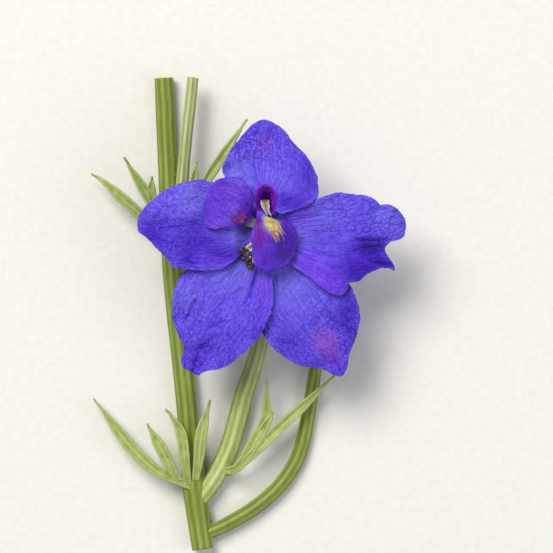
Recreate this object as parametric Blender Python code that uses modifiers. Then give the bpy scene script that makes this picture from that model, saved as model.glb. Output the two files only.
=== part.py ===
"""A cut flowering shoot of a garden delphinium, lying on a surface with its one bloom facing up.

The bloom is Delphinium grandiflorum in form: five broad violet-blue sepals, the top one with a spur
that runs back and down to the surface, two bearded lower petals, and a pair of cream upper petals in
the mouth of the spur. Its stalk bends down behind it to the main stem, which lies on the surface with
two side shoots and leaves cut into narrow lobes.

Lengths below are millimetres. Plan positions (x, y) are measured from the bloom's centre, +Y towards
the top sepal. Heights are measured up from the surface, or from the bloom's own plane where a value
is said to be relative to it. The part itself is in metres, +Z up, origin under the middle of its box.
"""
import math

import bmesh
import bpy
from mathutils import Vector, noise

MM = 0.001

# Place of the bloom's centre in the part's frame
BLOOM_X = 2.88
BLOOM_Y = 14.58
BLOOM_Z = 14.4

# Walls and gaps
SEPAL_WALL = 0.62
PETAL_WALL = 0.60
LEAF_WALL = 0.70
GAP = 0.32

# Middle of the receptacle, where every sepal is attached
RECEPTACLE = (0.0, -2.0)
SEPAL_ROOT_RADIUS = 2.4
SEPAL_RISE_LENGTH = 3.0

# Mouth and spine of the spur: x, y, height over the bloom's plane, half-width, half-height, all from
# the mouth to the blunt tip that touches the surface
SPUR_RINGS = [
    (0.1, 3.2, 1.7, 1.95, 2.70),
    (0.1, 3.2, 0.5, 1.90, 2.62),
    (0.1, 3.4, -0.9, 1.90, 2.50),
    (0.1, 4.2, -2.8, 1.75, 2.15),
    (0.1, 5.7, -5.2, 1.50, 1.75),
    (0.1, 7.8, -7.8, 1.25, 1.40),
    (0.1, 10.3, -10.3, 1.05, 1.15),
    (0.1, 12.8, -12.4, 0.95, 1.00),
    (0.1, 14.7, -13.68, 0.90, 0.92),
]
MOUTH_TILT = 0.42
SPUR_WALL = 0.60
SPUR_SIDES = 16

COLOURS = {
    "sepal": ((0.13, 0.08, 0.62), 0.55),
    "petal": ((0.15, 0.05, 0.55), 0.55),
    "cream": ((0.60, 0.52, 0.30), 0.60),
    "anther": ((0.03, 0.02, 0.02), 0.50),
    "stem": ((0.30, 0.38, 0.07), 0.55),
    "leaf": ((0.28, 0.36, 0.08), 0.60),
}

# Each sepal is lofted between its two edges over its middle vein. All three run from the claw at the
# receptacle to the tip. "level" is how high the blade lies over the bloom's plane away from the claw,
# "root" how high at the claw. A fold is (start, end, depth, half-width): a soft valley, or a ridge
# where the depth is negative.
SEPALS = {
    "sepal_lower_right": {
        "left": [(0.1, -4.6), (-0.5, -6.6), (-1.4, -9.9), (-2.0, -13.0), (-1.7, -15.7), (-0.5, -17.4),
                 (0.6, -19.0), (2.7, -21.0), (4.9, -22.3), (7.2, -22.9), (9.3, -23.2), (10.7, -24.0)],
        "middle": [(1.1, -4.4), (3.1, -9.1), (5.5, -13.0), (8.0, -17.0), (10.2, -20.1), (11.9, -24.3)],
        "right": [(1.9, -3.9), (5.5, -6.4), (9.4, -7.8), (12.6, -9.1), (13.5, -10.2), (14.4, -12.1),
                  (14.9, -14.3), (14.8, -16.1), (14.1, -18.7), (13.3, -20.7), (13.0, -22.5), (12.6, -23.7)],
        "root": -1.9, "level": -1.2, "droop": 1.3, "waves": 5.0, "ruffle": 0.35, "seed": 3.0,
        "folds": [((4.0, -8.0), (11.0, -22.0), 0.35, 1.6), ((8.5, -20.5), (12.0, -19.0), -0.45, 1.5)],
    },
    "sepal_lower_left": {
        "left": [(-2.1, -3.8), (-4.2, -5.7), (-7.8, -6.9), (-11.0, -7.4), (-12.5, -7.6), (-14.0, -10.0),
                 (-14.5, -12.1), (-14.6, -14.1), (-14.3, -16.1), (-13.3, -18.4), (-12.7, -19.9),
                 (-13.2, -21.4), (-12.9, -22.9)],
        "middle": [(-1.5, -4.2), (-3.5, -8.3), (-5.8, -12.2), (-8.2, -16.2), (-10.2, -20.1), (-11.0, -23.9)],
        "right": [(-0.7, -4.6), (0.5, -6.3), (1.1, -8.5), (1.3, -11.5), (0.9, -14.3), (-0.5, -17.4),
                  (-0.9, -18.1), (-2.7, -19.9), (-4.9, -21.9), (-7.2, -23.1), (-9.3, -23.4), (-10.5, -24.0)],
        "root": -1.2, "level": 0.2, "droop": 1.5, "waves": 4.0, "ruffle": 0.35, "seed": 8.0,
        "folds": [((-1.5, -8.3), (-2.6, -12.5), 0.55, 0.7), ((-4.5, -10.0), (-9.8, -21.5), 0.35, 1.7),
                  ((-13.0, -21.0), (-10.5, -20.0), 0.4, 0.9)],
    },
    "sepal_right": {
        "left": [(2.3, -0.7), (2.45, 0.9), (3.3, 2.1), (5.2, 2.75), (6.8, 3.15), (8.3, 3.7), (9.6, 4.1),
                 (11.3, 4.6), (13.0, 4.4), (15.4, 4.2), (17.1, 3.6), (18.2, 2.7), (18.7, 2.8), (20.1, 2.5),
                 (21.2, 1.6), (22.0, 0.5), (22.1, -0.8)],
        "middle": [(2.5, -2.0), (4.7, -2.7), (8.6, -2.8), (12.6, -2.8), (16.5, -2.2), (19.6, -1.9),
                   (22.0, -1.5)],
        "right": [(2.3, -3.1), (3.1, -5.6), (5.5, -7.7), (7.2, -8.9), (8.9, -10.3), (10.5, -11.3),
                  (11.9, -11.5), (12.7, -11.0), (13.2, -9.7), (14.8, -9.3), (16.0, -8.3), (17.7, -7.4),
                  (19.5, -7.2), (20.4, -7.7), (20.2, -6.7), (19.0, -5.6), (18.5, -4.5), (19.5, -3.1),
                  (20.9, -2.8), (21.8, -2.3)],
        "root": -1.2, "level": 0.2, "droop": 0.6, "waves": 6.0, "ruffle": 0.30, "seed": 14.0,
        "folds": [((13.5, -5.2), (18.0, -4.6), 0.9, 1.3), ((19.0, -0.5), (21.5, -1.5), -0.5, 1.2),
                  ((4.5, -2.4), (14.0, -1.6), 0.35, 1.2), ((9.0, -7.0), (11.5, -9.8), -0.4, 1.4),
                  ((15.5, -8.8), (20.0, -7.4), 1.2, 2.2)],
    },
    "sepal_left": {
        "left": [(-2.3, -3.1), (-3.1, -4.2), (-4.4, -5.7), (-6.4, -7.1), (-8.5, -7.6), (-10.2, -7.6),
                 (-12.7, -7.4), (-14.3, -7.1), (-15.1, -6.0), (-16.5, -4.6), (-18.5, -2.5), (-19.8, -1.6)],
        "middle": [(-2.5, -2.0), (-5.5, -1.4), (-9.4, -0.8), (-13.3, -0.8), (-17.3, -0.8), (-20.0, -0.3)],
        "right": [(-2.3, -0.9), (-3.4, 0.2), (-5.2, 2.9), (-6.9, 5.6), (-8.9, 6.4), (-10.2, 6.6),
                  (-12.7, 6.2), (-15.4, 5.1), (-17.4, 3.6), (-19.2, 1.9), (-19.9, 0.5)],
        "root": -0.5, "level": 1.6, "droop": 0.9, "waves": 5.0, "ruffle": 0.30, "seed": 21.0,
        "folds": [((-11.0, -0.8), (-17.0, -0.6), 0.8, 1.1), ((-6.0, -4.5), (-15.0, -4.8), -0.4, 1.6),
                  ((-18.0, 0.6), (-15.0, 2.4), -0.35, 1.2)],
    },
}
SEPAL_TOP = {
    "left": [(-1.3, 2.2), (-3.2, 3.4), (-5.0, 5.3), (-6.4, 7.0), (-6.6, 8.4), (-5.5, 11.1), (-3.8, 13.2),
             (-2.4, 14.8), (-1.4, 15.5)],
    "middle": [(0.1, 4.8), (0.2, 8.2), (0.0, 11.3), (-0.2, 13.7), (0.0, 16.0)],
    "right": [(1.5, 1.9), (2.6, 1.25), (4.3, 1.7), (7.1, 2.8), (8.3, 4.1), (8.3, 6.0), (7.8, 8.0), (6.4, 10.4),
              (4.4, 12.4), (2.9, 14.4), (1.7, 15.2)],
    "root": 1.0, "level": 1.6, "droop": 0.5, "waves": 5.0, "ruffle": 0.30, "seed": 30.0,
    "folds": [((0.0, 9.5), (0.0, 14.5), 0.35, 1.0), ((4.0, 4.0), (6.5, 9.0), -0.35, 1.8)],
}
SEPAL_ROWS = 18
SEPAL_COLUMNS = 10
PETAL_ROWS = 12
PETAL_COLUMNS = 8

# The lower petals: a round limb on a short claw. The mound carries the beard.
PETAL_LEFT = {
    "left": [(-1.5, -1.2), (-2.4, -0.7), (-4.4, -0.8), (-6.4, -0.9), (-7.9, -1.1), (-9.1, -0.8),
             (-9.6, 0.4), (-9.7, 1.9), (-9.4, 3.6)],
    "middle": [(-1.3, -0.8), (-3.0, 0.2), (-6.8, 2.2), (-9.0, 4.5)],
    "right": [(-1.1, -0.5), (-1.45, 0.4), (-1.9, 1.2), (-2.0, 3.2), (-2.35, 5.0), (-3.2, 6.3), (-4.9, 6.9),
              (-6.7, 6.8), (-8.0, 6.1), (-8.7, 5.2)],
    "start": 0.3, "level": 3.1, "mound": (-4.3, 0.9, 1.1, 0.45),
}
PETAL_RIGHT = {
    "left": [(-1.25, 1.6), (-1.3, 0.7), (-1.5, -0.2), (-1.95, -1.1), (-2.1, -2.3), (-2.0, -4.1), (-1.9, -5.7),
             (-1.5, -7.1)],
    "middle": [(-0.8, 1.75), (-0.3, 0.5), (0.5, -0.9), (1.2, -2.6), (1.3, -4.4), (0.2, -7.7)],
    "right": [(-0.35, 1.7), (0.3, 0.9), (1.7, 0.3), (3.4, 0.1), (4.8, -1.4), (4.9, -3.6), (4.2, -5.7),
              (3.0, -6.9), (1.6, -7.5)],
    "start": 1.9, "level": 3.2, "mound": (0.9, -0.6, 1.3, 0.50),
}
# Claw that carries the right petal from below: x, y, height over the bloom's plane, radius
CLAW = [(1.3, -1.6, 0.0, 0.45), (1.45, -1.1, 1.4, 0.45), (1.1, -0.5, 3.25, 0.45)]

# Cream upper petals: path out of the spur and over its lower lip, with half-widths
UPPER_PETALS = [
    (0.1, 3.9, -3.0, 0.45),
    (0.1, 3.7, -0.5, 0.60),
    (0.0, 3.5, 1.2, 0.68),
    (-0.03, 3.15, 2.0, 0.66),
    (0.12, 2.5, 2.3, 0.60),
    (0.30, 1.9, 2.2, 0.42),
    (0.42, 1.45, 2.0, 0.32),
]

# Stamens: each anther's place, the filaments all rising from one ring round the pistil
STAMEN_RING = (-0.2, -2.2, 0.12, 1.0, 0.30)
ANTHERS = [(-3.9, -4.6, 2.5), (-3.4, -5.7, 2.5), (-2.9, -4.7, 2.1), (-2.3, -5.7, 2.0),
           (-2.6, -6.9, 1.9), (-3.4, -3.7, 2.7), (-1.3, -5.6, 1.6), (-0.2, -5.2, 1.4)]
ANTHER_SIZE = (0.42, 0.62, 0.36)
FILAMENT_RADIUS = 0.26

# Stems as x, y, height of the axis over the surface, radius
MAIN_STEM = [
    (-16.3, 23.4, 1.90, 1.55), (-16.1, 19.2, 1.58, 1.60), (-15.8, 12.0, 1.43, 1.62),
    (-15.5, 5.4, 1.60, 1.64), (-15.2, -1.0, 1.90, 1.66), (-14.9, -7.5, 2.02, 1.68),
    (-14.1, -15.5, 2.02, 1.70), (-13.2, -23.5, 1.92, 1.72), (-12.5, -30.5, 1.85, 1.74),
    (-12.0, -36.5, 1.84, 1.85), (-11.3, -43.0, 1.80, 2.00), (-10.6, -48.5, 1.60, 1.85),
    (-10.0, -52.4, 1.75, 1.80),
]
PALE_STEM = [
    (-15.0, -7.0, 2.2, 1.00), (-14.4, -3.2, 4.6, 1.05), (-13.9, 1.0, 5.6, 1.05),
    (-13.3, 6.0, 5.8, 1.02), (-12.8, 11.8, 5.6, 1.00), (-12.0, 19.2, 5.0, 0.98),
    (-11.6, 23.2, 4.7, 0.95),
]
FLOWER_STALK = [
    (-10.9, -44.6, 1.9, 1.55), (-9.5, -42.9, 1.85, 1.60), (-7.6, -40.0, 1.82, 1.66),
    (-5.7, -36.0, 1.80, 1.70), (-4.4, -31.5, 1.95, 1.68), (-3.4, -27.5, 2.20, 1.60),
    (-1.9, -23.0, 2.75, 1.45), (-0.8, -18.8, 3.60, 1.30), (-0.4, -14.0, 5.10, 1.15),
    (-0.2, -9.5, 7.00, 1.05), (-0.1, -5.4, 8.90, 1.00), (0.0, -3.0, 10.40, 1.05),
    (0.0, -2.1, 11.35, 1.45), (0.0, -2.0, 12.10, 1.95), (0.0, -2.0, 13.20, 2.10),
    (0.0, -2.0, 13.90, 1.85),
]
RIGHT_STEM = [
    (-9.8, -50.0, 1.6, 1.15), (-6.5, -48.6, 1.4, 1.20), (-2.0, -46.0, 1.2, 1.25), (2.0, -42.6, 1.12, 1.25),
    (4.8, -38.6, 1.08, 1.25), (6.1, -34.9, 1.10, 1.22), (7.0, -30.1, 1.35, 1.18), (8.0, -23.6, 2.2, 1.05),
    (8.4, -19.0, 3.6, 0.90), (8.0, -15.5, 5.0, 0.70),
]
STEM_SIDES = 12
STEM_RIDGE = 0.90

# Rings along each stem
MAIN_RINGS = 22
STALK_RINGS = 30
PALE_RINGS = 14
RIGHT_RINGS = 18

# Leaves, each cut into narrow lobes: lobe paths as x, y, height, and the half-width of each lobe
LEAVES = {
    "leaf_upper_left": ("MAIN_STEM", [
        (0.80, [(-14.9, -3.4, 3.0), (-17.2, 1.4, 4.5), (-18.6, 4.1, 5.0), (-20.5, 7.1, 5.6), (-22.6, 10.5, 6.0)]),
        (0.60, [(-17.6, 2.2, 4.5), (-18.2, 5.0, 5.2), (-18.1, 7.4, 5.8)]),
        (0.80, [(-15.4, -2.6, 3.4), (-18.0, -0.6, 4.2), (-20.5, 1.8, 4.5), (-23.2, 4.2, 4.4),
                (-26.0, 6.7, 3.8), (-27.9, 7.9, 3.2)]),
    ]),
    "leaf_upper_right": ("PALE_STEM", [
        (0.75, [(-13.6, 0.6, 6.0), (-11.6, 3.2, 6.6), (-9.2, 7.0, 6.9), (-6.0, 11.8, 6.5), (-2.9, 16.6, 5.6)]),
        (0.60, [(-11.9, 2.7, 6.5), (-11.4, 6.4, 7.2), (-10.9, 9.8, 7.6)]),
    ]),
    "leaf_lower_left": ("MAIN_STEM", [
        (0.90, [(-11.8, -42.2, 3.4), (-14.5, -41.0, 4.0), (-17.8, -39.4, 4.2), (-21.1, -36.3, 4.0),
                (-23.6, -33.3, 3.6), (-26.0, -30.2, 3.0), (-27.6, -28.2, 2.6)]),
        (0.85, [(-14.0, -41.4, 3.9), (-15.2, -39.0, 4.6), (-16.6, -36.2, 5.0), (-18.9, -32.1, 5.0)]),
        (0.80, [(-12.4, -42.0, 3.6), (-12.9, -38.0, 4.8), (-13.6, -33.2, 5.0), (-15.9, -29.8, 4.8)]),
    ]),
    "leaf_lower_right": ("MAIN_STEM", [
        (0.85, [(-11.2, -41.2, 3.6), (-10.6, -37.4, 4.8), (-10.2, -33.6, 5.1), (-8.8, -28.3, 5.0)]),
    ]),
    "leaf_on_stalk": ("FLOWER_STALK", [
        (0.90, [(-6.6, -39.8, 2.8), (-4.4, -39.1, 4.2), (-2.3, -36.0, 4.7), (0.0, -31.7, 5.0),
                (0.2, -28.6, 5.0), (0.4, -25.2, 4.8)]),
        (0.55, [(-1.3, -34.3, 4.6), (0.3, -31.9, 5.15), (1.3, -30.2, 5.3)]),
        (0.80, [(-6.2, -40.3, 2.6), (-3.7, -38.5, 4.25), (-1.1, -36.1, 4.8), (2.2, -32.8, 4.7), (5.6, -29.7, 4.5),
                (8.6, -26.8, 4.0), (11.4, -24.2, 3.4)]),
    ]),
}
LOBE_ROWS = 12


def clear_scene():
    for old in list(bpy.data.objects):
        bpy.data.objects.remove(old, do_unlink=True)


def material(name):
    """One Principled material for a kind of tissue."""
    made = bpy.data.materials.get(name)
    if made:
        return made
    colour, roughness = COLOURS[name]
    made = bpy.data.materials.new(name)
    made.use_nodes = True
    shader = made.node_tree.nodes["Principled BSDF"]
    shader.inputs["Base Color"].default_value = (*colour, 1.0)
    shader.inputs["Roughness"].default_value = roughness
    shader.inputs["Metallic"].default_value = 0.0
    return made


def smooth_path(points, count):
    """Evenly spaced points along a smooth curve through the given ones, of any dimension."""
    ends = [points[0]] + list(points) + [points[-1]]
    fine = []
    steps = 16
    for i in range(1, len(ends) - 2):
        a, b, c, d = (Vector(p) for p in ends[i - 1:i + 3])
        for k in range(steps):
            t = k / steps
            fine.append(0.5 * (2 * b + (c - a) * t + (2 * a - 5 * b + 4 * c - d) * t * t
                               + (3 * b - a - 3 * c + d) * t ** 3))
    fine.append(Vector(points[-1]))
    lengths = [0.0]
    for a, b in zip(fine, fine[1:]):
        lengths.append(lengths[-1] + (b - a).length)
    path = []
    k = 0
    for i in range(count):
        goal = lengths[-1] * i / (count - 1)
        while k < len(fine) - 2 and lengths[k + 1] < goal:
            k += 1
        share = (goal - lengths[k]) / max(lengths[k + 1] - lengths[k], 1e-9)
        path.append(fine[k].lerp(fine[k + 1], min(share, 1.0)))
    return path


def ease(t):
    """Smooth step from 0 to 1."""
    t = min(max(t, 0.0), 1.0)
    return t * t * (3 - 2 * t)


def across(left, middle, right, v):
    """Point of a row at v from -1 on the left edge to 1 on the right, bowed over the middle."""
    return left * (v * (v - 1) / 2) + middle * (1 - v * v) + right * (v * (v + 1) / 2)


def fold_height(folds, x, y):
    """Depth of the soft valleys and ridges at a plan position."""
    height = 0.0
    for start, end, depth, width in folds:
        a, b = Vector(start), Vector(end)
        line = b - a
        t = min(max((Vector((x, y)) - a).dot(line) / line.length_squared, 0.0), 1.0)
        off = (Vector((x, y)) - a - line * t).length
        height -= depth * math.exp(-(off / width) ** 2)
    return height


def sepal_height(form, u, v, x, y):
    """Height of a sepal's middle surface over the bloom's plane."""
    out = math.dist((x, y), RECEPTACLE)
    rise = ease((out - SEPAL_ROOT_RADIUS) / SEPAL_RISE_LENGTH)
    height = form["root"] + (form["level"] - form["root"]) * rise
    height -= form["droop"] * ease((u - 0.55) / 0.45)
    edge = abs(v) ** 3 * ease(u / 0.35)
    height += form["ruffle"] * edge * math.sin(math.tau * form["waves"] * u + form["seed"] + v)
    height += 0.22 * ease(u / 0.3) * noise.noise(Vector((x * 0.45, y * 0.45, form["seed"])))
    return height + fold_height(form["folds"], x, y) * ease(u / 0.25)


def sheet(name, form, rows, columns, height):
    """Grid bent onto the blade between its edges, split into triangles before it gets its wall."""
    edges = [smooth_path(form[key], rows + 1) for key in ("left", "middle", "right")]
    bm = bmesh.new()
    bmesh.ops.create_grid(bm, x_segments=columns, y_segments=rows, size=1.0)
    for vert in bm.verts:
        v, u = vert.co.x, (vert.co.y + 1) / 2
        row = round(u * rows)
        x, y = across(edges[0][row], edges[1][row], edges[2][row], v)
        vert.co = (x, y, height(form, u, v, x, y))
    bmesh.ops.triangulate(bm, faces=bm.faces)
    return finish_mesh(name, bm)


def finish_mesh(name, bm):
    """Mesh object at the bloom's place, from a bmesh in millimetres about the bloom's centre."""
    for vert in bm.verts:
        vert.co = (vert.co + Vector((BLOOM_X, BLOOM_Y, BLOOM_Z))) * MM
    mesh = bpy.data.meshes.new(name)
    bm.to_mesh(mesh)
    bm.free()
    made = bpy.data.objects.new(name, mesh)
    bpy.context.scene.collection.objects.link(made)
    return made


def give_wall(piece, wall):
    """Thicken a sheet equally to both sides."""
    solid = piece.modifiers.new("wall", "SOLIDIFY")
    solid.thickness = wall * MM
    solid.offset = 0.0


def apply_modifiers(piece):
    """Replace the piece's mesh by what its modifiers make of it."""
    evaluated = piece.evaluated_get(bpy.context.evaluated_depsgraph_get())
    mesh = bpy.data.meshes.new_from_object(evaluated)
    piece.modifiers.clear()
    piece.data = mesh
    mesh.name = piece.name


def combine(piece, others, operation, solver="EXACT"):
    """Join other solids to a piece, or cut them from it, and remove them."""
    group = bpy.data.collections.new(piece.name + "_tools")
    bpy.context.scene.collection.children.link(group)
    for other in others:
        group.objects.link(other)
    cut = piece.modifiers.new(operation.lower(), "BOOLEAN")
    cut.operation = operation
    cut.operand_type = "COLLECTION"
    cut.collection = group
    cut.solver = solver
    bpy.context.view_layer.update()
    apply_modifiers(piece)
    for other in others:
        bpy.data.objects.remove(other, do_unlink=True)
    bpy.data.collections.remove(group)


def ridged_profile(sides, ridge):
    """Closed outline of radius 1 mm with a ridge on every second corner."""
    data = bpy.data.curves.new("profile", "CURVE")
    data.dimensions = "2D"
    line = data.splines.new("POLY")
    line.points.add(sides - 1)
    for i, point in enumerate(line.points):
        angle = math.tau * i / sides
        radius = MM * (1.0 if i % 2 == 0 else ridge)
        point.co = (radius * math.cos(angle), radius * math.sin(angle), 0.0, 1.0)
    line.use_cyclic_u = True
    profile = bpy.data.objects.new("profile", data)
    bpy.context.scene.collection.objects.link(profile)
    return profile


def tube(name, points, count, sides=STEM_SIDES, ridge=STEM_RIDGE, extra=0.0, lift=0.0):
    """Ridged tube through (x, y, height, radius), its caps welded, as a mesh object."""
    profile = ridged_profile(sides, ridge)
    data = bpy.data.curves.new(name, "CURVE")
    data.dimensions = "3D"
    data.bevel_mode = "OBJECT"
    data.bevel_object = profile
    data.use_fill_caps = True
    path = smooth_path(points, count)
    line = data.splines.new("POLY")
    line.points.add(count - 1)
    for point, (x, y, z, radius) in zip(line.points, path):
        point.co = ((x + BLOOM_X) * MM, (y + BLOOM_Y) * MM, (z + lift) * MM, 1.0)
        point.radius = radius + extra
    curve = bpy.data.objects.new(name + "_curve", data)
    bpy.context.scene.collection.objects.link(curve)
    bpy.context.view_layer.update()
    mesh = bpy.data.meshes.new_from_object(curve.evaluated_get(bpy.context.evaluated_depsgraph_get()))
    mesh.name = name
    bpy.data.objects.remove(curve, do_unlink=True)
    bpy.data.objects.remove(profile, do_unlink=True)
    bm = bmesh.new()
    bm.from_mesh(mesh)
    bmesh.ops.remove_doubles(bm, verts=bm.verts, dist=1e-6)
    bmesh.ops.recalc_face_normals(bm, faces=bm.faces)
    bm.to_mesh(mesh)
    bm.free()
    made = bpy.data.objects.new(name, mesh)
    bpy.context.scene.collection.objects.link(made)
    return made


def spur_solid(name, shrink, from_ring, to_ring, mouth_lift):
    """Loft between the spur's unlike oval rings, closed at both ends; shrink gives the hollow."""
    rings = [Vector(ring) for ring in SPUR_RINGS[from_ring:to_ring]]
    if mouth_lift:
        rings.insert(0, rings[0] + Vector((0, 0, mouth_lift, 0, 0)))
    bm = bmesh.new()
    loops = []
    for i, ring in enumerate(rings):
        before, after = rings[max(i - 1, 0)], rings[min(i + 1, len(rings) - 1)]
        along = Vector((after[0] - before[0], after[1] - before[1], after[2] - before[2])).normalized()
        up = along.cross(Vector((1, 0, 0))).normalized()
        loop = []
        for k in range(SPUR_SIDES):
            angle = math.tau * k / SPUR_SIDES
            offset = Vector((1, 0, 0)) * (ring[3] - shrink) * math.cos(angle)
            offset += up * (ring[4] - shrink) * math.sin(angle)
            offset.z += MOUTH_TILT * offset.y * ease((ring[2] - 0.5) / 1.2)
            loop.append(bm.verts.new(Vector(ring[:3]) + offset))
        loops.append(loop)
    for low, high in zip(loops, loops[1:]):
        for k in range(SPUR_SIDES):
            bm.faces.new((low[k], low[k - 1], high[k - 1], high[k]))
    bm.faces.new(loops[0])
    bm.faces.new(loops[-1])
    bmesh.ops.recalc_face_normals(bm, faces=bm.faces)
    return finish_mesh(name, bm)


def make_sepal_top():
    """Top sepal: its blade, and the hollow spur that its base is drawn out into."""
    blade = sheet("sepal_top", SEPAL_TOP, SEPAL_ROWS, SEPAL_COLUMNS, sepal_height)
    give_wall(blade, SEPAL_WALL)
    combine(blade, [spur_solid("spur", 0.0, 0, len(SPUR_RINGS), 0.0)], "UNION")
    hollow = spur_solid("spur_hollow", SPUR_WALL, 0, len(SPUR_RINGS) - 2, 2.5)
    combine(blade, [hollow], "DIFFERENCE")
    flatten_on_surface(blade)
    return blade


def flatten_on_surface(piece):
    """Cut a small flat resting spot where the piece dips below the surface."""
    bpy.ops.mesh.primitive_cube_add(size=1.0, location=(0, 0, -0.05))
    block = bpy.context.object
    block.scale = (0.2, 0.2, 0.1)
    bpy.context.view_layer.update()
    block.data.transform(block.matrix_world)
    block.matrix_world.identity()
    combine(piece, [block], "DIFFERENCE")


def petal_height(form, u, v, x, y):
    """Height of a lower petal's limb: claw, round limb with turned edges, and the beard's mound."""
    height = form["start"] + (form["level"] - form["start"]) * ease(u / 0.30)
    height += 0.25 * math.sin(math.tau * 2.0 * u + 2.0) * abs(v) ** 2 * ease(u / 0.5)
    mx, my, width, rise = form["mound"]
    return height + rise * math.exp(-((x - mx) ** 2 + (y - my) ** 2) / width ** 2)


def right_petal_height(form, u, v, x, y):
    """The right petal is creased down its middle, its outer half turned down and its tip drooping."""
    height = petal_height(form, u, v, x, y)
    height -= 1.0 * ease(v / 0.9) * ease(u / 0.3)
    return height - 0.5 * ease((u - 0.5) / 0.5)


def make_petals():
    left = sheet("petal_lower_left", PETAL_LEFT, PETAL_ROWS, PETAL_COLUMNS, petal_height)
    give_wall(left, PETAL_WALL)
    right = sheet("petal_lower_right", PETAL_RIGHT, PETAL_ROWS, PETAL_COLUMNS, right_petal_height)
    give_wall(right, PETAL_WALL)
    claw = tube("claw", CLAW, 6, sides=8, ridge=1.0, lift=BLOOM_Z)
    combine(right, [claw], "UNION")
    return [left, right]


def make_upper_petals():
    """The cream pair, grown together here as one folded blade that comes out of the spur."""
    rows, columns = 12, 4
    path = smooth_path(UPPER_PETALS, rows + 1)
    bm = bmesh.new()
    bmesh.ops.create_grid(bm, x_segments=columns, y_segments=rows, size=1.0)
    for vert in bm.verts:
        v, u = vert.co.x, (vert.co.y + 1) / 2
        x, y, z, width = path[round(u * rows)]
        vert.co = (x + width * v, y + 0.12 * v * v, z + 0.12 * v * v)
    bmesh.ops.triangulate(bm, faces=bm.faces)
    piece = finish_mesh("petals_upper", bm)
    give_wall(piece, PETAL_WALL)
    return piece


def make_stamens():
    """Ring round the pistil with a filament and an anther for each stamen, grown together."""
    cx, cy, height, radius, thickness = STAMEN_RING
    bpy.ops.mesh.primitive_torus_add(
        major_segments=18, minor_segments=6, major_radius=radius * MM, minor_radius=thickness * MM,
        location=((cx + BLOOM_X) * MM, (cy + BLOOM_Y) * MM, (height + BLOOM_Z) * MM))
    ring = bpy.context.object
    ring.name = "stamens"
    bake_place(ring)
    parts = []
    for i, (x, y, z) in enumerate(ANTHERS):
        angle = math.atan2(y - cy, x - cx) + 0.5 * math.sin(2.4 * i)
        root = (cx + radius * math.cos(angle), cy + radius * math.sin(angle), height)
        bend = (root[0] * 0.6 + x * 0.4, root[1] * 0.6 + y * 0.4, height + 1.15 + 0.05 * i)
        route = [(*root, FILAMENT_RADIUS), (*bend, FILAMENT_RADIUS), (x, y, z, FILAMENT_RADIUS)]
        parts.append(tube("filament", route, 6, sides=6, ridge=1.0, lift=BLOOM_Z))
        bpy.ops.mesh.primitive_uv_sphere_add(
            segments=7, ring_count=5, radius=MM,
            location=((x + BLOOM_X) * MM, (y + BLOOM_Y) * MM, (z + BLOOM_Z) * MM),
            rotation=(0.0, 0.0, 0.7 * i))
        anther = bpy.context.object
        anther.scale = ANTHER_SIZE
        bpy.context.view_layer.update()
        bake_place(anther)
        parts.append(anther)
    combine(ring, parts, "UNION")
    return ring


def bake_place(piece):
    """Move the object's place, turn and scale into its mesh."""
    bpy.context.view_layer.update()
    piece.data.transform(piece.matrix_world)
    piece.matrix_world.identity()


def make_pistil():
    """Three slim carpels, grown together, in the middle of the stamens."""
    cx, cy = STAMEN_RING[:2]
    carpels = []
    for k in range(3):
        angle = math.tau * k / 3 + 0.2
        dx, dy = 0.17 * math.cos(angle), 0.17 * math.sin(angle)
        route = [(cx + dx, cy + dy, -0.18 + 0.03 * k, 0.23), (cx + dx, cy + dy, 0.6, 0.25),
                 (cx + 2.0 * dx, cy + 2.0 * dy, 1.5 - 0.05 * k, 0.15)]
        carpels.append(tube("pistil", route, 5, sides=7, ridge=1.0, lift=BLOOM_Z))
    combine(carpels[0], carpels[1:], "UNION", "MANIFOLD")
    carpels[0].name = "pistil"
    return carpels[0]


def make_stems():
    """Main stem on the surface, the bloom's stalk and two side shoots, each cut clear of the main one."""
    main = tube("stem_main", MAIN_STEM, MAIN_RINGS)
    flatten_on_surface(main)
    stems = [main]
    for name, route, count in (("stalk_of_bloom", FLOWER_STALK, STALK_RINGS),
                               ("stem_pale", PALE_STEM, PALE_RINGS),
                               ("stem_right", RIGHT_STEM, RIGHT_RINGS)):
        stem = tube(name, route, count)
        combine(stem, [tube("room", MAIN_STEM, MAIN_RINGS, ridge=1.0, extra=GAP)], "DIFFERENCE")
        stems.append(stem)
    flatten_on_surface(stems[-1])
    return stems


def lobe(name, half_width, route):
    """One narrow lobe: channelled along its middle, tapered to both ends."""
    rows, columns = LOBE_ROWS, 2
    path = smooth_path(route, rows + 1)
    bm = bmesh.new()
    bmesh.ops.create_grid(bm, x_segments=columns, y_segments=rows, size=1.0)
    for vert in bm.verts:
        v, u = vert.co.x, (vert.co.y + 1) / 2
        row = round(u * rows)
        ahead = path[min(row + 1, rows)] - path[max(row - 1, 0)]
        side = Vector((ahead.y, -ahead.x, 0.0)).normalized()
        width = half_width * (0.62 + 0.38 * ease(u / 0.4)) * (1 - 0.72 * ease((u - 0.6) / 0.4))
        vert.co = path[row] + side * width * v + Vector((0, 0, 0.22 * v * v - BLOOM_Z))
    bmesh.ops.triangulate(bm, faces=bm.faces)
    piece = finish_mesh(name, bm)
    give_wall(piece, LEAF_WALL)
    apply_modifiers(piece)
    return piece


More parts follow.
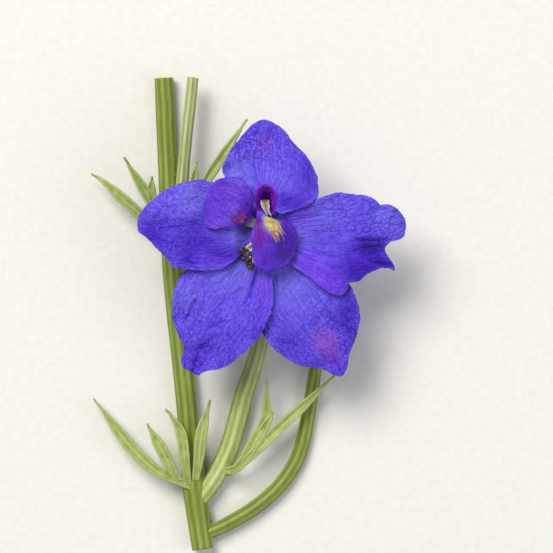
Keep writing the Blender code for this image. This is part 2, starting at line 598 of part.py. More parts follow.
def make_leaves():
    """Each leaf's lobes, joined at the root and cut clear of the stem that carries it."""
    carriers = {"MAIN_STEM": (MAIN_STEM, MAIN_RINGS), "PALE_STEM": (PALE_STEM, PALE_RINGS),
                "FLOWER_STALK": (FLOWER_STALK, STALK_RINGS)}
    leaves = []
    for name, (carrier, lobes) in LEAVES.items():
        parts = [lobe(name if i == 0 else "lobe", *form) for i, form in enumerate(lobes)]
        leaf = parts[0]
        if parts[1:]:
            combine(leaf, parts[1:], "UNION", "MANIFOLD")
        route, count = carriers[carrier]
        combine(leaf, [tube("room", route, count, ridge=1.0, extra=GAP)], "DIFFERENCE", "MANIFOLD")
        leaves.append(leaf)
    return leaves


def dress(pieces, colour, group):
    """Material, smooth shading and collection for finished pieces."""
    for piece in pieces:
        piece.data.materials.clear()
        piece.data.materials.append(material(colour))
        piece.data.shade_smooth()
        for old in list(piece.users_collection):
            old.objects.unlink(piece)
        group.objects.link(piece)


def main():
    clear_scene()
    group = bpy.data.collections.new("delphinium")
    bpy.context.scene.collection.children.link(group)
    sepals = [make_sepal_top()]
    for name, form in SEPALS.items():
        blade = sheet(name, form, SEPAL_ROWS, SEPAL_COLUMNS, sepal_height)
        give_wall(blade, SEPAL_WALL)
        sepals.append(blade)
    dress(sepals, "sepal", group)
    dress(make_petals(), "petal", group)
    dress([make_upper_petals(), make_pistil()], "cream", group)
    dress([make_stamens()], "anther", group)
    dress(make_stems(), "stem", group)
    dress(make_leaves(), "leaf", group)


main()
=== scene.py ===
# %% [markdown]
# # A cut delphinium shoot, seen from above
#
# The solids of this part are already made: five sepals, the lower and upper petals, stamens and
# pistil, stems and leaves, at their real size. They are plain and a little thick. Here each of them is
# replaced by a finer piece of the same form: a thin, wrinkled blade for a sepal, a ribbed and downy
# tube for a stem. The real plant is Delphinium grandiflorum, and one bloom is about 42 mm across.

# %% Load the solids as a fixed frame
import math
import random

import bmesh
import bpy
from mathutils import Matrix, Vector, noise


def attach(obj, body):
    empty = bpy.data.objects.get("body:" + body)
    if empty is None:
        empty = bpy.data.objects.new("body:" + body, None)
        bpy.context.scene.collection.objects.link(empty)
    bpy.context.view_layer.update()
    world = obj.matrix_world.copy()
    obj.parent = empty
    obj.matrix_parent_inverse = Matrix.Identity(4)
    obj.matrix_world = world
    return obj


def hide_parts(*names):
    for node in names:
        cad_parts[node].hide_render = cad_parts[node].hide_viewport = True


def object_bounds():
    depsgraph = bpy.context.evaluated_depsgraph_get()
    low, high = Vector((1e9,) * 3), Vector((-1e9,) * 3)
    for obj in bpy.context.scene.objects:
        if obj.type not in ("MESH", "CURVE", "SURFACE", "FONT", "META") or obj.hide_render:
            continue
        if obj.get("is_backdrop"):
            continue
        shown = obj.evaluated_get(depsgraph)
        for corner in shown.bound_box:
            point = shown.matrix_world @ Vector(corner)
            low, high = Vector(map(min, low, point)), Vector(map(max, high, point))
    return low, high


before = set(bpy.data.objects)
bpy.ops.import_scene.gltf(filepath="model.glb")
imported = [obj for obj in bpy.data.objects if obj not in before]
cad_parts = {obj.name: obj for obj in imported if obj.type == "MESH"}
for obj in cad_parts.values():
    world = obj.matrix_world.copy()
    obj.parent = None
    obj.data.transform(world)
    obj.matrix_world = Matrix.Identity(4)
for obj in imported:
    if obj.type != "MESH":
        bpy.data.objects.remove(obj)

cad_box = [list(corner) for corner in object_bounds()]
print("solids:", len(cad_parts), "box in mm:", [[round(c * 1000, 1) for c in p] for p in cad_box])

# %% [markdown]
# Lengths are easiest to read in millimetres, because the outlines of petals were measured that way.
# Plan positions (x, y) run from the bloom's centre, with +Y towards the top sepal. Meshes are turned
# to metres and moved to the bloom's place in one helper, so nothing is moved afterwards.

# %% Units and places
MM = 0.001
BLOOM = Vector((2.88, 14.58, 14.4))      # the bloom's centre in the part's frame
RECEPTACLE = (0.0, -2.0)                 # middle of the ring that the sepals are attached to

# %% [markdown]
# Colours are picked as sRGB hex values, the way a paint chart gives them. Blender's shaders work with
# linear light, so one function converts them. Another adds any node with its inputs, the stops of
# its ramp and its settings. An input that is given a node is linked to that node's first output in
# use. On top of these, a few functions build what most skins of this plant share: colours laid over
# one another by masks, a colour darkened by a pattern, and a plain skin mottled by a single noise.
# A pattern's size is always given in millimetres, or as so many to a millimetre.

# %% Colour and node helpers
def linear(hex_value):
    """Linear RGBA of an sRGB hex value."""
    parts = [int(hex_value[i:i + 2], 16) / 255 for i in (1, 3, 5)]
    return (*[c / 12.92 if c <= 0.04045 else ((c + 0.055) / 1.055) ** 2.4 for c in parts], 1.0)


def in_use(sockets, name=None):
    """The first socket that the node's settings leave in use, by name where one is given."""
    return next(socket for socket in sockets if socket.enabled and name in (None, socket.name))


def feed(node, inputs):
    """Fill a node's inputs: nodes and sockets are linked, hex colours converted, other values set."""
    for key, value in inputs.items():
        target = node.inputs[key] if isinstance(key, int) else in_use(node.inputs, key)
        if isinstance(value, bpy.types.Node):
            value = in_use(value.outputs)
        if isinstance(value, bpy.types.NodeSocket):
            node.id_data.links.new(value, target)
        else:
            target.default_value = linear(value) if isinstance(value, str) else value
    return node


def add_node(tree, kind, inputs=None, stops=(), **settings):
    """A new node with its settings, its inputs and, on a colour ramp, its stops."""
    node = tree.nodes.new(kind)
    for key, value in settings.items():
        setattr(node, key, value)
    for i, (position, hex_value) in enumerate(stops):
        elements = node.color_ramp.elements
        element = elements[i] if i < len(elements) else elements.new(position)
        element.position = position
        element.color = linear(hex_value)
    return feed(node, inputs or {})


def new_material(name):
    """A material, its node tree and the socket of its Object coordinates."""
    made = bpy.data.materials.new(name)
    made.use_nodes = True
    return made, made.node_tree, add_node(made.node_tree, "ShaderNodeTexCoord").outputs["Object"]


def tint_of(tree):
    """The four channels of the mesh attribute "tint", as sockets."""
    tint = add_node(tree, "ShaderNodeAttribute", attribute_name="tint")
    return *add_node(tree, "ShaderNodeSeparateColor", {"Color": tint}).outputs, tint.outputs["Alpha"]


def finish_material(made, inputs, bump=()):
    """The material, with its shader fed, and a bump given as (height, strength, depth in mm)."""
    if bump:
        height, strength, depth = bump
        inputs["Normal"] = add_node(made.node_tree, "ShaderNodeBump",
                                    {"Strength": strength, "Distance": depth * MM, "Height": height})
    feed(made.node_tree.nodes["Principled BSDF"], inputs)
    return made


def layered(tree, factor, base, *layers):
    """A ramp over a factor, and on it more ramps or plain colours, each laid on by its own mask."""
    colour = add_node(tree, "ShaderNodeValToRGB", {"Fac": factor}, base)
    for mask, over in layers:
        if not isinstance(over, str):
            over = add_node(tree, "ShaderNodeValToRGB", {"Fac": factor}, over)
        colour = add_node(tree, "ShaderNodeMix", {"Factor": mask, "A": colour, "B": over}, data_type="RGBA")
    return colour


def darkened(tree, colour, amount, factor, stops):
    """A colour multiplied, by some amount, with a ramp over a factor."""
    ramp = add_node(tree, "ShaderNodeValToRGB", {"Fac": factor}, stops)
    return add_node(tree, "ShaderNodeMix", {"Factor": amount, "A": colour, "B": ramp},
                    data_type="RGBA", blend_type="MULTIPLY")


def mottled(name, per_mm, detail, stops, inputs, over=(), bump=()):
    """A skin mottled by one noise, which may also raise it, with plain colours over it by the tint."""
    made, tree, place = new_material(name)
    mottle = add_node(tree, "ShaderNodeTexNoise",
                      {"Scale": per_mm / MM, "Detail": detail, "Vector": place})
    layers = zip(tint_of(tree), over) if over else ()
    inputs["Base Color"] = layered(tree, mottle, stops, *layers)
    return finish_material(made, inputs, (mottle, *bump) if bump else ())

# %% [markdown]
# A curve through a few given points is the base of every blade and stem here. Catmull-Rom
# splines pass through their points, so an outline measured on the bloom is kept as it is.

# %% Curves and easing
CURVE_STEPS = 16                         # straight pieces between two given points


def smooth_path(points, count):
    """Evenly spaced points along a smooth curve through the given ones, of any dimension."""
    ends = [points[0]] + list(points) + [points[-1]]
    fine = []
    for i in range(1, len(ends) - 2):
        a, b, c, d = (Vector(p) for p in ends[i - 1:i + 3])
        for k in range(CURVE_STEPS):
            t = k / CURVE_STEPS
            fine.append(0.5 * (2 * b + (c - a) * t + (2 * a - 5 * b + 4 * c - d) * t * t
                               + (3 * b - a - 3 * c + d) * t ** 3))
    fine.append(Vector(points[-1]))
    lengths = [0.0]
    for a, b in zip(fine, fine[1:]):
        lengths.append(lengths[-1] + (b - a).length)
    path = []
    k = 0
    for i in range(count):
        goal = lengths[-1] * i / (count - 1)
        while k < len(fine) - 2 and lengths[k + 1] < goal:
            k += 1
        share = (goal - lengths[k]) / max(lengths[k + 1] - lengths[k], 1e-9)
        path.append(fine[k].lerp(fine[k + 1], min(share, 1.0)))
    return path


def ease(t):
    """Smooth step from 0 to 1."""
    t = min(max(t, 0.0), 1.0)
    return t * t * (3 - 2 * t)


def across(left, middle, right, v):
    """Point of a row at v from -1 on the left edge to 1 on the right, bowed over the middle."""
    return left * (v * (v - 1) / 2) + middle * (1 - v * v) + right * (v * (v + 1) / 2)


def spots_at(x, y, spots):
    """Strength, up to 1, of soft round spots (x, y, radius, amount) at a plan position."""
    return min(1.0, sum(amount * math.exp(-((x - sx) ** 2 + (y - sy) ** 2) / radius ** 2)
                        for sx, sy, radius, amount in spots))

# %% [markdown]
# ## Camera, light and floor
#
# The shoot is cut, so it lies on a surface with its bloom facing up, and the camera looks straight
# down on it. A long lens half a metre away keeps the stems below the bloom at almost the bloom's own
# scale. The light is soft: one broad lamp from the upper left, a weaker one opposite, and a pale
# surround. Standard view keeps the saturated violet, which a filmic view would wash out.

# %% Camera
IMAGE_SIDE_MM = 86.8                     # what the frame covers at the bloom
CAMERA_DISTANCE = 500.0
VIEW_CENTRE = (4.68, 6.02)               # what the camera looks down on, in the part's frame
camera_data = bpy.data.cameras.new("camera")
camera_data.sensor_width = 36.0
camera_data.lens = camera_data.sensor_width * CAMERA_DISTANCE / IMAGE_SIDE_MM
camera_data.clip_start = 0.01
camera_data.clip_end = 5.0
camera = bpy.data.objects.new("camera", camera_data)
camera.location = (VIEW_CENTRE[0] * MM, VIEW_CENTRE[1] * MM, (BLOOM.z + CAMERA_DISTANCE) * MM)
bpy.context.scene.collection.objects.link(camera)
bpy.context.scene.camera = camera
print("lens", round(camera_data.lens, 1), "mm")

# %% Light, surround and floor
def area_light(name, place, power, size, tint):
    """Square lamp at a place in metres, aimed at the bloom."""
    data = bpy.data.lights.new(name, "AREA")
    data.energy = power
    data.size = size
    data.color = linear(tint)[:3]
    lamp = bpy.data.objects.new(name, data)
    lamp.location = place
    lamp.rotation_euler = (BLOOM * MM - Vector(place)).to_track_quat("-Z", "Y").to_euler()
    bpy.context.scene.collection.objects.link(lamp)


area_light("key", (-0.30, 0.42, 0.72), 7.8, 0.45, "#fffcf6")
area_light("fill", (0.42, -0.20, 0.40), 1.1, 0.45, "#f2f5ff")

world = bpy.data.worlds.new("surround")
world.use_nodes = True
feed(world.node_tree.nodes["Background"], {"Color": "#f2f3f6", "Strength": 0.42})
bpy.context.scene.world = world
bpy.context.scene.view_settings.view_transform = "Standard"

FLOOR_HALF_SIDE = 1.5                    # metres
floor_bm = bmesh.new()
bmesh.ops.create_grid(floor_bm, x_segments=1, y_segments=1, size=FLOOR_HALF_SIDE)
floor = bpy.data.objects.new("floor", bpy.data.meshes.new("floor"))
floor_bm.to_mesh(floor.data)
floor_bm.free()
# Matte card: almost white, with a faint uneven grain so that it reads as a surface
floor.data.materials.append(mottled("matte_studio_card", 0.9, 3.0, [(0.3, "#dedcd6"), (0.7, "#e4e2dc")],
                                    {"Roughness": 0.9, "Specular IOR Level": 0.2}))
bpy.context.scene.collection.objects.link(floor)
floor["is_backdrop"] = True
print("lamps:", [lamp.name for lamp in bpy.data.lights])

# %% [markdown]
# ## Finished pieces
#
# Every piece ends the same way: its mesh is in metres with its place in it, it has one material, it
# rides on the body "root", and it stands for one or more of the solids.

# %% Helpers that finish a piece
def mesh_piece(name, bm, shift=BLOOM, turn_faces_out=False):
    """Mesh object from a bmesh in millimetres, moved by a shift in millimetres."""
    if turn_faces_out:
        bmesh.ops.recalc_face_normals(bm, faces=bm.faces)
    for vert in bm.verts:
        vert.co = (vert.co + shift) * MM
    made = bpy.data.objects.new(name, bpy.data.meshes.new(name))
    bm.to_mesh(made.data)
    bm.free()
    bpy.context.scene.collection.objects.link(made)
    return made


def freeze(piece):
    """Replace a piece's mesh by what its modifiers make of it, and drop the modifiers."""
    bpy.context.view_layer.update()
    evaluated = piece.evaluated_get(bpy.context.evaluated_depsgraph_get())
    mesh = bpy.data.meshes.new_from_object(evaluated)
    piece.modifiers.clear()
    piece.data = mesh
    mesh.name = piece.name
    return piece


def give_wall(piece, thickness, rim_share=None):
    """Close a sheet into a blade of a thickness in millimetres, thinned to a share of it at the rim."""
    wall = piece.modifiers.new("wall", "SOLIDIFY")
    wall.thickness = thickness * MM
    wall.offset = 0.0
    if rim_share is not None:
        wall.vertex_group = "thick"
        wall.thickness_vertex_group = rim_share
    return freeze(piece)


def finish_piece(piece, material, slot, *nodes):
    """Material, smooth shading and the frame's calls for a finished piece."""
    piece.data.materials.clear()
    piece.data.materials.append(material)
    piece.data.shade_smooth()
    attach(piece, "root")
    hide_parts(*nodes)
    print(piece.name, "triangles:", sum(len(face.vertices) - 2 for face in piece.data.polygons))
    return piece

# %% [markdown]
# ## Sepal tissue
#
# Delphinium sepals look like petals. Their skin is a sheet of tiny domed cells over a net of veins,
# so it scatters light like velvet: broad, soft highlights and deep colour in every hollow. The mesh
# carries an attribute, "tint", that says where the blade is more violet, paler, or rubbed pink, and
# how high each wrinkle stands, and one more, "mark", for the deep blue-violet zones. Much of the
# colour is painted light and shade: it is darker in every wrinkle and crease, the "mark" zones are
# painted shade where the blade turns from the lamp or lies under another part, the violet is partly
# painted shade where sepals overlap, and the rim is drawn paler as a painted highlight. The shader
# only mixes colours by them, so the pattern stays on the piece. The finest wrinkles lie too close for
# the mesh, so they are a pattern in the shader: a noise whose middle value is drawn as a thin dark
# line of painted shade.

# %% Sepal tissue material
CELL_MM = 0.11                           # real cells are 0.03 mm; drawn coarser so that they show
CREPE_MM = 0.36                          # pitch of the finest wrinkles


def sepal_tissue():
    """Blue-violet, velvety: rough with a faint sheen, painted light on ridges, painted shade in hollows."""
    made, tree, place = new_material("sepal_tissue")
    violet, pale, ridges, rubbed = tint_of(tree)
    # Painted shade: the "mark" attribute gives the deep zones where the blade would lie in shade.
    deep = add_node(tree, "ShaderNodeAttribute", attribute_name="mark").outputs["Fac"]
    # Painted light and shade: the relief ramp is darker in wrinkles and creases, "mark" lays deep painted
    # shade, the violet is partly painted shade where sepals overlap, and "pale" is paler tissue with a
    # painted highlight on the rim.
    colour = layered(tree, ridges, [(0.15, "#381ca6"), (0.60, "#573fd0"), (1.00, "#6f5ae6")],
                     (violet, [(0.15, "#4214a4"), (0.60, "#6432d0"), (1.00, "#7844e4")]),
                     (deep, [(0.15, "#200080"), (0.60, "#3a06aa"), (1.00, "#4812c0")]),
                     (pale, [(0.15, "#4a40b0"), (0.60, "#6c64d2"), (1.00, "#807ae6")]))
    clouds = add_node(tree, "ShaderNodeTexNoise",
                      {"Scale": 0.42 / MM, "Detail": 4.0, "Roughness": 0.6, "Vector": place})
    colour = darkened(tree, colour, 0.35, clouds, [(0.30, "#d8d0f4"), (0.70, "#ffffff")])
    # Rubbed spots are pink in flecks, where the outer cells are worn off
    flecks = add_node(tree, "ShaderNodeTexNoise", {"Scale": 3.3 / MM, "Detail": 2.0, "Vector": place})
    flecks = add_node(tree, "ShaderNodeMapRange", {"From Min": 0.42, "From Max": 0.60, "Value": flecks})
    worn = add_node(tree, "ShaderNodeMath", {0: flecks, 1: 0.55, 2: 0.20}, operation="MULTIPLY_ADD")
    worn = add_node(tree, "ShaderNodeMath", {0: worn, 1: rubbed}, operation="MULTIPLY")
    colour = add_node(tree, "ShaderNodeMix", {"Factor": worn, "A": colour, "B": "#9c4a94"},
                      data_type="RGBA")
    across_veins = add_node(tree, "ShaderNodeMapping", {"Vector": place, "Scale": (0.75, 1.25, 1.0)})
    crepe = add_node(tree, "ShaderNodeTexNoise",
                     {"Scale": 1 / (CREPE_MM * MM), "Detail": 2.0, "Vector": across_veins})
    crepe = add_node(tree, "ShaderNodeMath", {0: crepe, 1: 0.5}, operation="SUBTRACT")
    crepe = add_node(tree, "ShaderNodeMath", {0: crepe}, operation="ABSOLUTE")
    ridge = add_node(tree, "ShaderNodeMapRange", {"Value": crepe, "From Max": 0.10})
    # Painted shade: each fine wrinkle is drawn as a thin darker line.
    colour = darkened(tree, colour, 0.8, ridge, [(0.0, "#c0b8ea"), (1.0, "#ffffff")])
    cells = add_node(tree, "ShaderNodeTexVoronoi", {"Scale": 1 / (CELL_MM * MM), "Vector": place})
    height = add_node(tree, "ShaderNodeMath", {0: cells, 1: 0.4, 2: ridge}, operation="MULTIPLY_ADD")
    return finish_material(made, {
        "Base Color": colour, "Roughness": 0.52, "Specular IOR Level": 0.28, "Sheen Weight": 0.06,
        "Sheen Roughness": 0.45, "Sheen Tint": "#a79cff"}, bump=(height, 0.5, 0.07))


SEPAL_TISSUE = sepal_tissue()

# %% [markdown]
# ## The sepals
#
# Each sepal is lofted between its two measured edges over its middle vein. u runs from the claw to
# the tip, v from one edge to the other. Its height is worked out in layers: a rise off the receptacle,
# a droop at the tip, a ruffled rim, a few folds that this bloom has, and last the net of wrinkles. The
# wrinkles are a sum of ridged noises in vein coordinates, long along the veins near the claw and
# rounder towards the rim. They are real relief, up to 0.3 mm high, so they show in the blade's edge
# and shadows too.

# %% Outlines and folds of the sepals
# level and root: height of the blade and of its claw over the bloom's plane. Folds and creases are
# (start, end, depth, half-width). Patches of colour are (x, y, radius, amount); "mark" is painted
# shade, deep blue-violet zones where the blade faces away from the lamp or lies under another part.
# "violet" is partly the tissue's own hue and partly painted shade where sepals overlap. attach: how
# far the claw runs in to the receptacle. hole: the mouth of the spur.
SEPALS = {
    "sepal_lower_right": {
        "left": [(0.1, -4.6), (-0.5, -6.6), (-1.4, -9.9), (-2.0, -13.0), (-1.7, -15.7), (-0.5, -17.4),
                 (0.6, -19.0), (2.7, -21.0), (4.9, -22.3), (7.2, -22.9), (9.3, -23.2), (10.7, -24.0)],
        "middle": [(1.1, -4.4), (3.1, -9.1), (5.5, -13.0), (8.0, -17.0), (10.2, -20.1), (11.9, -24.3)],
        "right": [(1.9, -3.9), (5.5, -6.4), (9.4, -7.8), (12.6, -9.1), (13.5, -10.2), (14.4, -12.1),
                  (14.9, -14.3), (14.8, -16.1), (14.1, -18.7), (13.3, -20.7), (13.0, -22.5),
                  (12.6, -23.7)],
        "root": -1.9, "level": -1.2, "droop": 1.3, "waves": 5.0, "ruffle": 0.35, "seed": 3.0, "attach": 0.7,
        "folds": [((4.0, -8.0), (11.0, -22.0), 0.35, 1.6), ((8.5, -20.5), (12.0, -19.0), -0.45, 1.5)],
        "creases": [((7.8, -16.2), (10.0, -12.4), 0.14, 0.28), ((10.8, -21.5), (12.2, -23.9), 0.18, 0.30),
                    ((3.0, -19.0), (6.2, -19.6), 0.12, 0.28)],
        "violet": [(12.0, -22.5, 2.5, 0.5)],
        "mark": [(13.2, -15.2, 3.0, 0.85), (3.5, -18.0, 2.6, 0.45), (13.6, -11.5, 2.0, 0.5),
                 (6.0, -20.8, 2.4, 0.35)],
        "pale": [(2.6, -8.5, 4.5, 0.75), (6.0, -13.0, 4.5, 0.25)],
        "pink": [(9.8, -19.2, 1.7, 1.0), (9.0, -18.0, 1.6, 0.5), (10.8, -21.0, 1.3, 0.5)],
    },
    "sepal_lower_left": {
        "left": [(-2.1, -3.4), (-3.7, -4.6), (-5.8, -5.9), (-7.8, -6.6), (-11.0, -7.3), (-12.5, -7.6),
                 (-14.0, -10.0), (-14.5, -12.1), (-14.6, -14.1), (-14.3, -16.1), (-13.3, -18.4),
                 (-12.7, -19.9), (-13.2, -21.4), (-12.9, -22.9)],
        "middle": [(-1.5, -4.2), (-3.5, -8.3), (-5.8, -12.2), (-8.2, -16.2), (-10.2, -20.1),
                   (-11.0, -23.9)],
        "right": [(-0.7, -4.6), (0.5, -6.3), (1.1, -8.5), (1.3, -11.5), (0.9, -14.3), (-0.5, -17.4),
                  (-0.9, -18.1), (-2.7, -19.9), (-4.9, -21.9), (-7.2, -23.1), (-9.3, -23.4),
                  (-10.5, -24.0)],
        "root": -1.2, "level": 0.2, "droop": 1.5, "waves": 4.0, "ruffle": 0.35, "seed": 8.0, "attach": 0.7,
        "folds": [((-1.5, -8.3), (-2.6, -12.5), 0.55, 0.7), ((-4.5, -10.0), (-9.8, -21.5), 0.35, 1.7),
                  ((-13.0, -21.0), (-10.5, -20.0), 0.4, 0.9)],
        "creases": [((-11.0, -12.3), (-12.4, -15.4), 0.30, 0.26),
                    ((-10.9, -21.6), (-11.4, -23.6), 0.25, 0.30),
                    ((-7.3, -17.7), (-10.0, -19.5), 0.15, 0.30),
                    ((-10.0, -19.5), (-10.9, -21.6), 0.16, 0.32),
                    ((-3.7, -10.5), (-5.2, -11.4), 0.14, 0.22), ((-1.4, -7.6), (-2.3, -11.9), 0.25, 0.30),
                    ((-6.2, -12.0), (-8.0, -14.2), 0.12, 0.25),
                    ((-13.8, -11.7), (-11.6, -11.6), 0.12, 0.25),
                    ((-9.5, -17.2), (-6.5, -15.6), 0.12, 0.28)],
        "mark": [(-2.0, -9.6, 0.7, 0.8), (-5.5, -18.8, 2.6, 0.3), (-9.2, -19.4, 1.3, 0.5),
                 (-10.8, -21.6, 1.4, 0.5), (-1.0, -17.0, 1.5, 0.4)],
        "violet": [(0.2, -9.5, 1.6, 1.0), (0.0, -12.5, 1.6, 0.9), (-0.4, -15.5, 1.5, 0.6),
                   (-11.5, -22.0, 2.2, 0.5)],
        "pale": [(-4.0, -8.3, 3.2, 0.5), (-7.0, -9.5, 3.0, 0.35), (-12.4, -11.5, 2.6, 0.6)],
    },
    "sepal_right": {
        "left": [(2.0, -0.9), (1.2, 0.0), (1.05, 0.8), (1.7, 1.7), (2.6, 2.3), (3.6, 2.5), (5.2, 2.75),
                 (6.8, 3.15), (8.3, 3.7), (9.6, 4.1), (11.3, 4.6), (13.0, 4.4), (15.4, 4.2), (17.1, 3.6),
                 (18.2, 2.7), (18.7, 2.8), (20.1, 2.5), (21.2, 1.6), (22.0, 0.5), (22.1, -0.8)],
        "middle": [(2.5, -2.0), (4.7, -2.7), (8.6, -2.8), (12.6, -2.8), (16.5, -2.2), (19.6, -1.9),
                   (22.0, -1.5)],
        "right": [(2.3, -3.1), (3.1, -5.6), (5.5, -7.7), (7.2, -8.9), (8.9, -10.3), (10.5, -11.3),
                  (11.9, -11.5), (12.7, -11.0), (13.2, -9.7), (14.8, -9.3), (16.0, -8.3), (17.7, -7.4),
                  (19.5, -7.2), (20.4, -7.7), (20.2, -6.7), (19.0, -5.6), (18.5, -4.5), (19.5, -3.1),
                  (20.9, -2.8), (21.8, -2.3)],
        "root": -1.2, "level": 0.2, "droop": 0.6, "waves": 6.0, "ruffle": 0.30, "seed": 14.0, "attach": 0.7,
        "folds": [((13.5, -5.2), (18.0, -4.6), 0.9, 1.3), ((19.0, -0.5), (21.5, -1.5), -0.5, 1.2),
                  ((4.5, -2.4), (14.0, -1.6), 0.35, 1.2), ((9.0, -7.0), (11.5, -9.8), -0.4, 1.4),
                  ((3.2, 0.9), (8.0, 3.2), -0.75, 1.3), ((15.5, -8.8), (20.0, -7.4), 1.2, 2.2)],
        "creases": [((14.3, -2.9), (19.2, -2.8), 0.30, 0.35), ((15.8, -4.0), (18.2, -3.9), 0.35, 0.9),
                    ((16.4, -6.0), (20.2, -6.9), 0.22, 0.30), ((5.5, 0.6), (9.0, 1.2), 0.16, 0.30),
                    ((6.0, -4.2), (11.0, -5.6), 0.10, 0.25)],
        "mark": [(16.3, -4.2, 2.2, 1.0), (15.2, -8.0, 2.6, 1.0), (5.0, 0.2, 1.2, 0.35),
                 (5.4, 1.5, 1.8, 0.55), (17.6, -6.6, 1.8, 0.8), (2.7, -0.2, 1.1, 0.6),
                 (8.8, -2.0, 3.0, 0.3), (13.0, -7.2, 2.4, 0.4), (19.2, -6.6, 1.2, 0.5),
                 (3.0, -3.4, 1.2, 0.6)],
        "violet": [(10.0, -9.0, 3.4, 1.0), (13.0, -9.8, 2.2, 0.6), (4.3, 0.5, 1.9, 1.0),
                   (5.4, 1.4, 2.0, 1.0), (6.9, 2.6, 1.4, 0.9), (6.0, -6.4, 2.4, 0.8),
                   (19.5, -6.5, 1.6, 0.5), (16.5, -4.4, 2.2, 0.6)],
        "pale": [(5.0, -2.0, 2.4, 0.6), (9.4, 2.0, 3.0, 0.55), (19.4, 0.8, 2.8, 0.7)],
    },
    "sepal_left": {
        "left": [(-2.3, -3.1), (-3.1, -4.2), (-4.4, -5.7), (-6.4, -7.1), (-8.5, -7.6), (-10.2, -7.6),
                 (-12.7, -7.4), (-14.3, -7.1), (-15.1, -6.0), (-16.5, -4.6), (-18.5, -2.5),
                 (-19.8, -1.6)],
        "middle": [(-2.5, -2.0), (-5.5, -1.4), (-9.4, -0.8), (-13.3, -0.8), (-17.3, -0.8), (-20.0, -0.3)],
        "right": [(-2.0, -0.9), (-1.2, 0.0), (-0.95, 0.8), (-1.1, 1.7), (-1.5, 2.6), (-2.2, 3.2),
                  (-3.6, 3.5), (-5.2, 4.0), (-6.9, 5.6), (-8.9, 6.4), (-10.2, 6.6), (-12.7, 6.2),
                  (-15.4, 5.1), (-17.4, 3.6), (-19.2, 1.9), (-19.9, 0.5)],
        "root": -0.5, "level": 1.6, "droop": 0.9, "waves": 5.0, "ruffle": 0.30, "seed": 21.0, "attach": 0.7,
        "folds": [((-11.0, -0.8), (-17.0, -0.6), 0.8, 1.1), ((-6.0, -4.5), (-15.0, -4.8), -0.4, 1.6),
                  ((-18.0, 0.6), (-15.0, 2.4), -0.35, 1.2)],
        "creases": [((-16.3, -1.0), (-12.8, -0.7), 0.18, 0.30),
                    ((-10.8, -3.0), (-5.5, -3.2), 0.10, 0.30)],
        "mark": [(-10.6, -0.3, 2.0, 0.9), (-17.2, -2.4, 1.8, 0.9), (-13.4, -3.2, 2.2, 0.8),
                 (-9.8, -3.4, 2.2, 0.8), (-6.8, -4.4, 2.0, 0.8), (-4.6, -4.8, 1.6, 0.9),
                 (-12.0, -6.2, 2.0, 0.6), (-18.4, -0.6, 1.2, 0.5)],
        "violet": [(-6.3, -5.6, 2.6, 0.8), (-10.0, -6.5, 2.6, 0.5)],
        # Painted light: the first pale spot lightens the blade in the shadow of the left petal.
        "pale": [(-3.6, -1.8, 2.4, 1.0), (-11.0, 4.2, 4.0, 0.7)],
    },
    "sepal_top": {
        "left": [(-1.3, 2.2), (-3.2, 3.4), (-5.0, 5.3), (-6.4, 7.0), (-6.6, 8.4), (-5.5, 11.1),
                 (-3.8, 13.2), (-2.4, 14.8), (-1.4, 15.5)],
        "middle": [(0.1, 4.8), (0.2, 8.2), (0.0, 11.3), (-0.2, 13.7), (0.0, 16.0)],
        "right": [(1.5, 1.9), (2.6, 1.25), (4.3, 1.7), (7.1, 2.8), (8.3, 4.1), (8.3, 6.0), (7.8, 8.0),
                  (6.4, 10.4), (4.4, 12.4), (2.9, 14.4), (1.7, 15.2)],
        "root": 1.0, "level": 1.6, "droop": 0.5, "waves": 5.0, "ruffle": 0.30, "seed": 30.0,
        "hole": (0.1, 3.2, 1.72, 2.45),
        "folds": [((0.0, 9.5), (0.0, 14.5), 0.35, 1.0), ((4.0, 4.0), (6.5, 9.0), -0.35, 1.8)],
        "creases": [((0.3, 12.8), (1.2, 15.4), 0.16, 0.30), ((-1.0, 14.0), (-0.8, 15.6), 0.14, 0.25)],
        "mark": [(6.4, 6.0, 2.8, 0.5), (3.0, 3.2, 1.5, 1.0), (5.4, 2.4, 1.6, 0.7), (7.2, 8.4, 2.0, 0.4),
                 (1.0, 13.6, 1.6, 0.3)],
        "violet": [(5.8, 2.3, 2.0, 0.8), (0.0, 6.0, 1.2, 0.6)],
        "pale": [(-4.2, 7.6, 2.8, 0.7), (2.0, 7.5, 2.8, 0.2), (0.0, 15.3, 1.0, 0.2)],
        "pink": [(0.2, 12.2, 1.4, 0.55)],
    },
}
SEPAL_ROWS = 186
SEPAL_COLUMNS = 132
SEPAL_WALL = 0.30                        # thickness of a blade
RIM_THINNING = 0.35                      # share of the thickness that is left at the rim

# %% Height of a sepal
SEPAL_ROOT_RADIUS = 2.4                  # distance from the receptacle's middle where a claw starts
SEPAL_RISE_LENGTH = 3.0                  # how far out it has risen to the blade's level


def fold_height(folds, x, y):
    """Depth of the soft valleys and ridges at a plan position."""
    height = 0.0
    for start, end, depth, width in folds:
        a, b = Vector(start), Vector(end)
        line = b - a
        t = min(max((Vector((x, y)) - a).dot(line) / line.length_squared, 0.0), 1.0)
        off = (Vector((x, y)) - a - line * t).length
        height -= depth * math.exp(-(off / width) ** 2)
    return height


def sepal_height(form, u, v, x, y):
    """Height of a sepal's middle surface over the bloom's plane, without its wrinkles."""
    out = math.dist((x, y), RECEPTACLE)
    rise = ease((out - SEPAL_ROOT_RADIUS) / SEPAL_RISE_LENGTH)
    height = form["root"] + (form["level"] - form["root"]) * rise
    height -= form["droop"] * ease((u - 0.55) / 0.45)
    edge = abs(v) ** 3 * ease(u / 0.35)
    height += form["ruffle"] * edge * math.sin(math.tau * form["waves"] * u + form["seed"] + v)
    height += 0.22 * ease(u / 0.3) * noise.noise(Vector((x * 0.45, y * 0.45, form["seed"])))
    return height + fold_height(form["folds"], x, y) * ease(u / 0.25)


def valleys(along, side, seed, sharpness):
    """1 on smooth tissue, falling to 0 in the thin lines where a noise passes through nought."""
    return min(1.0, abs(noise.noise(Vector((along, side, seed)))) * sharpness)


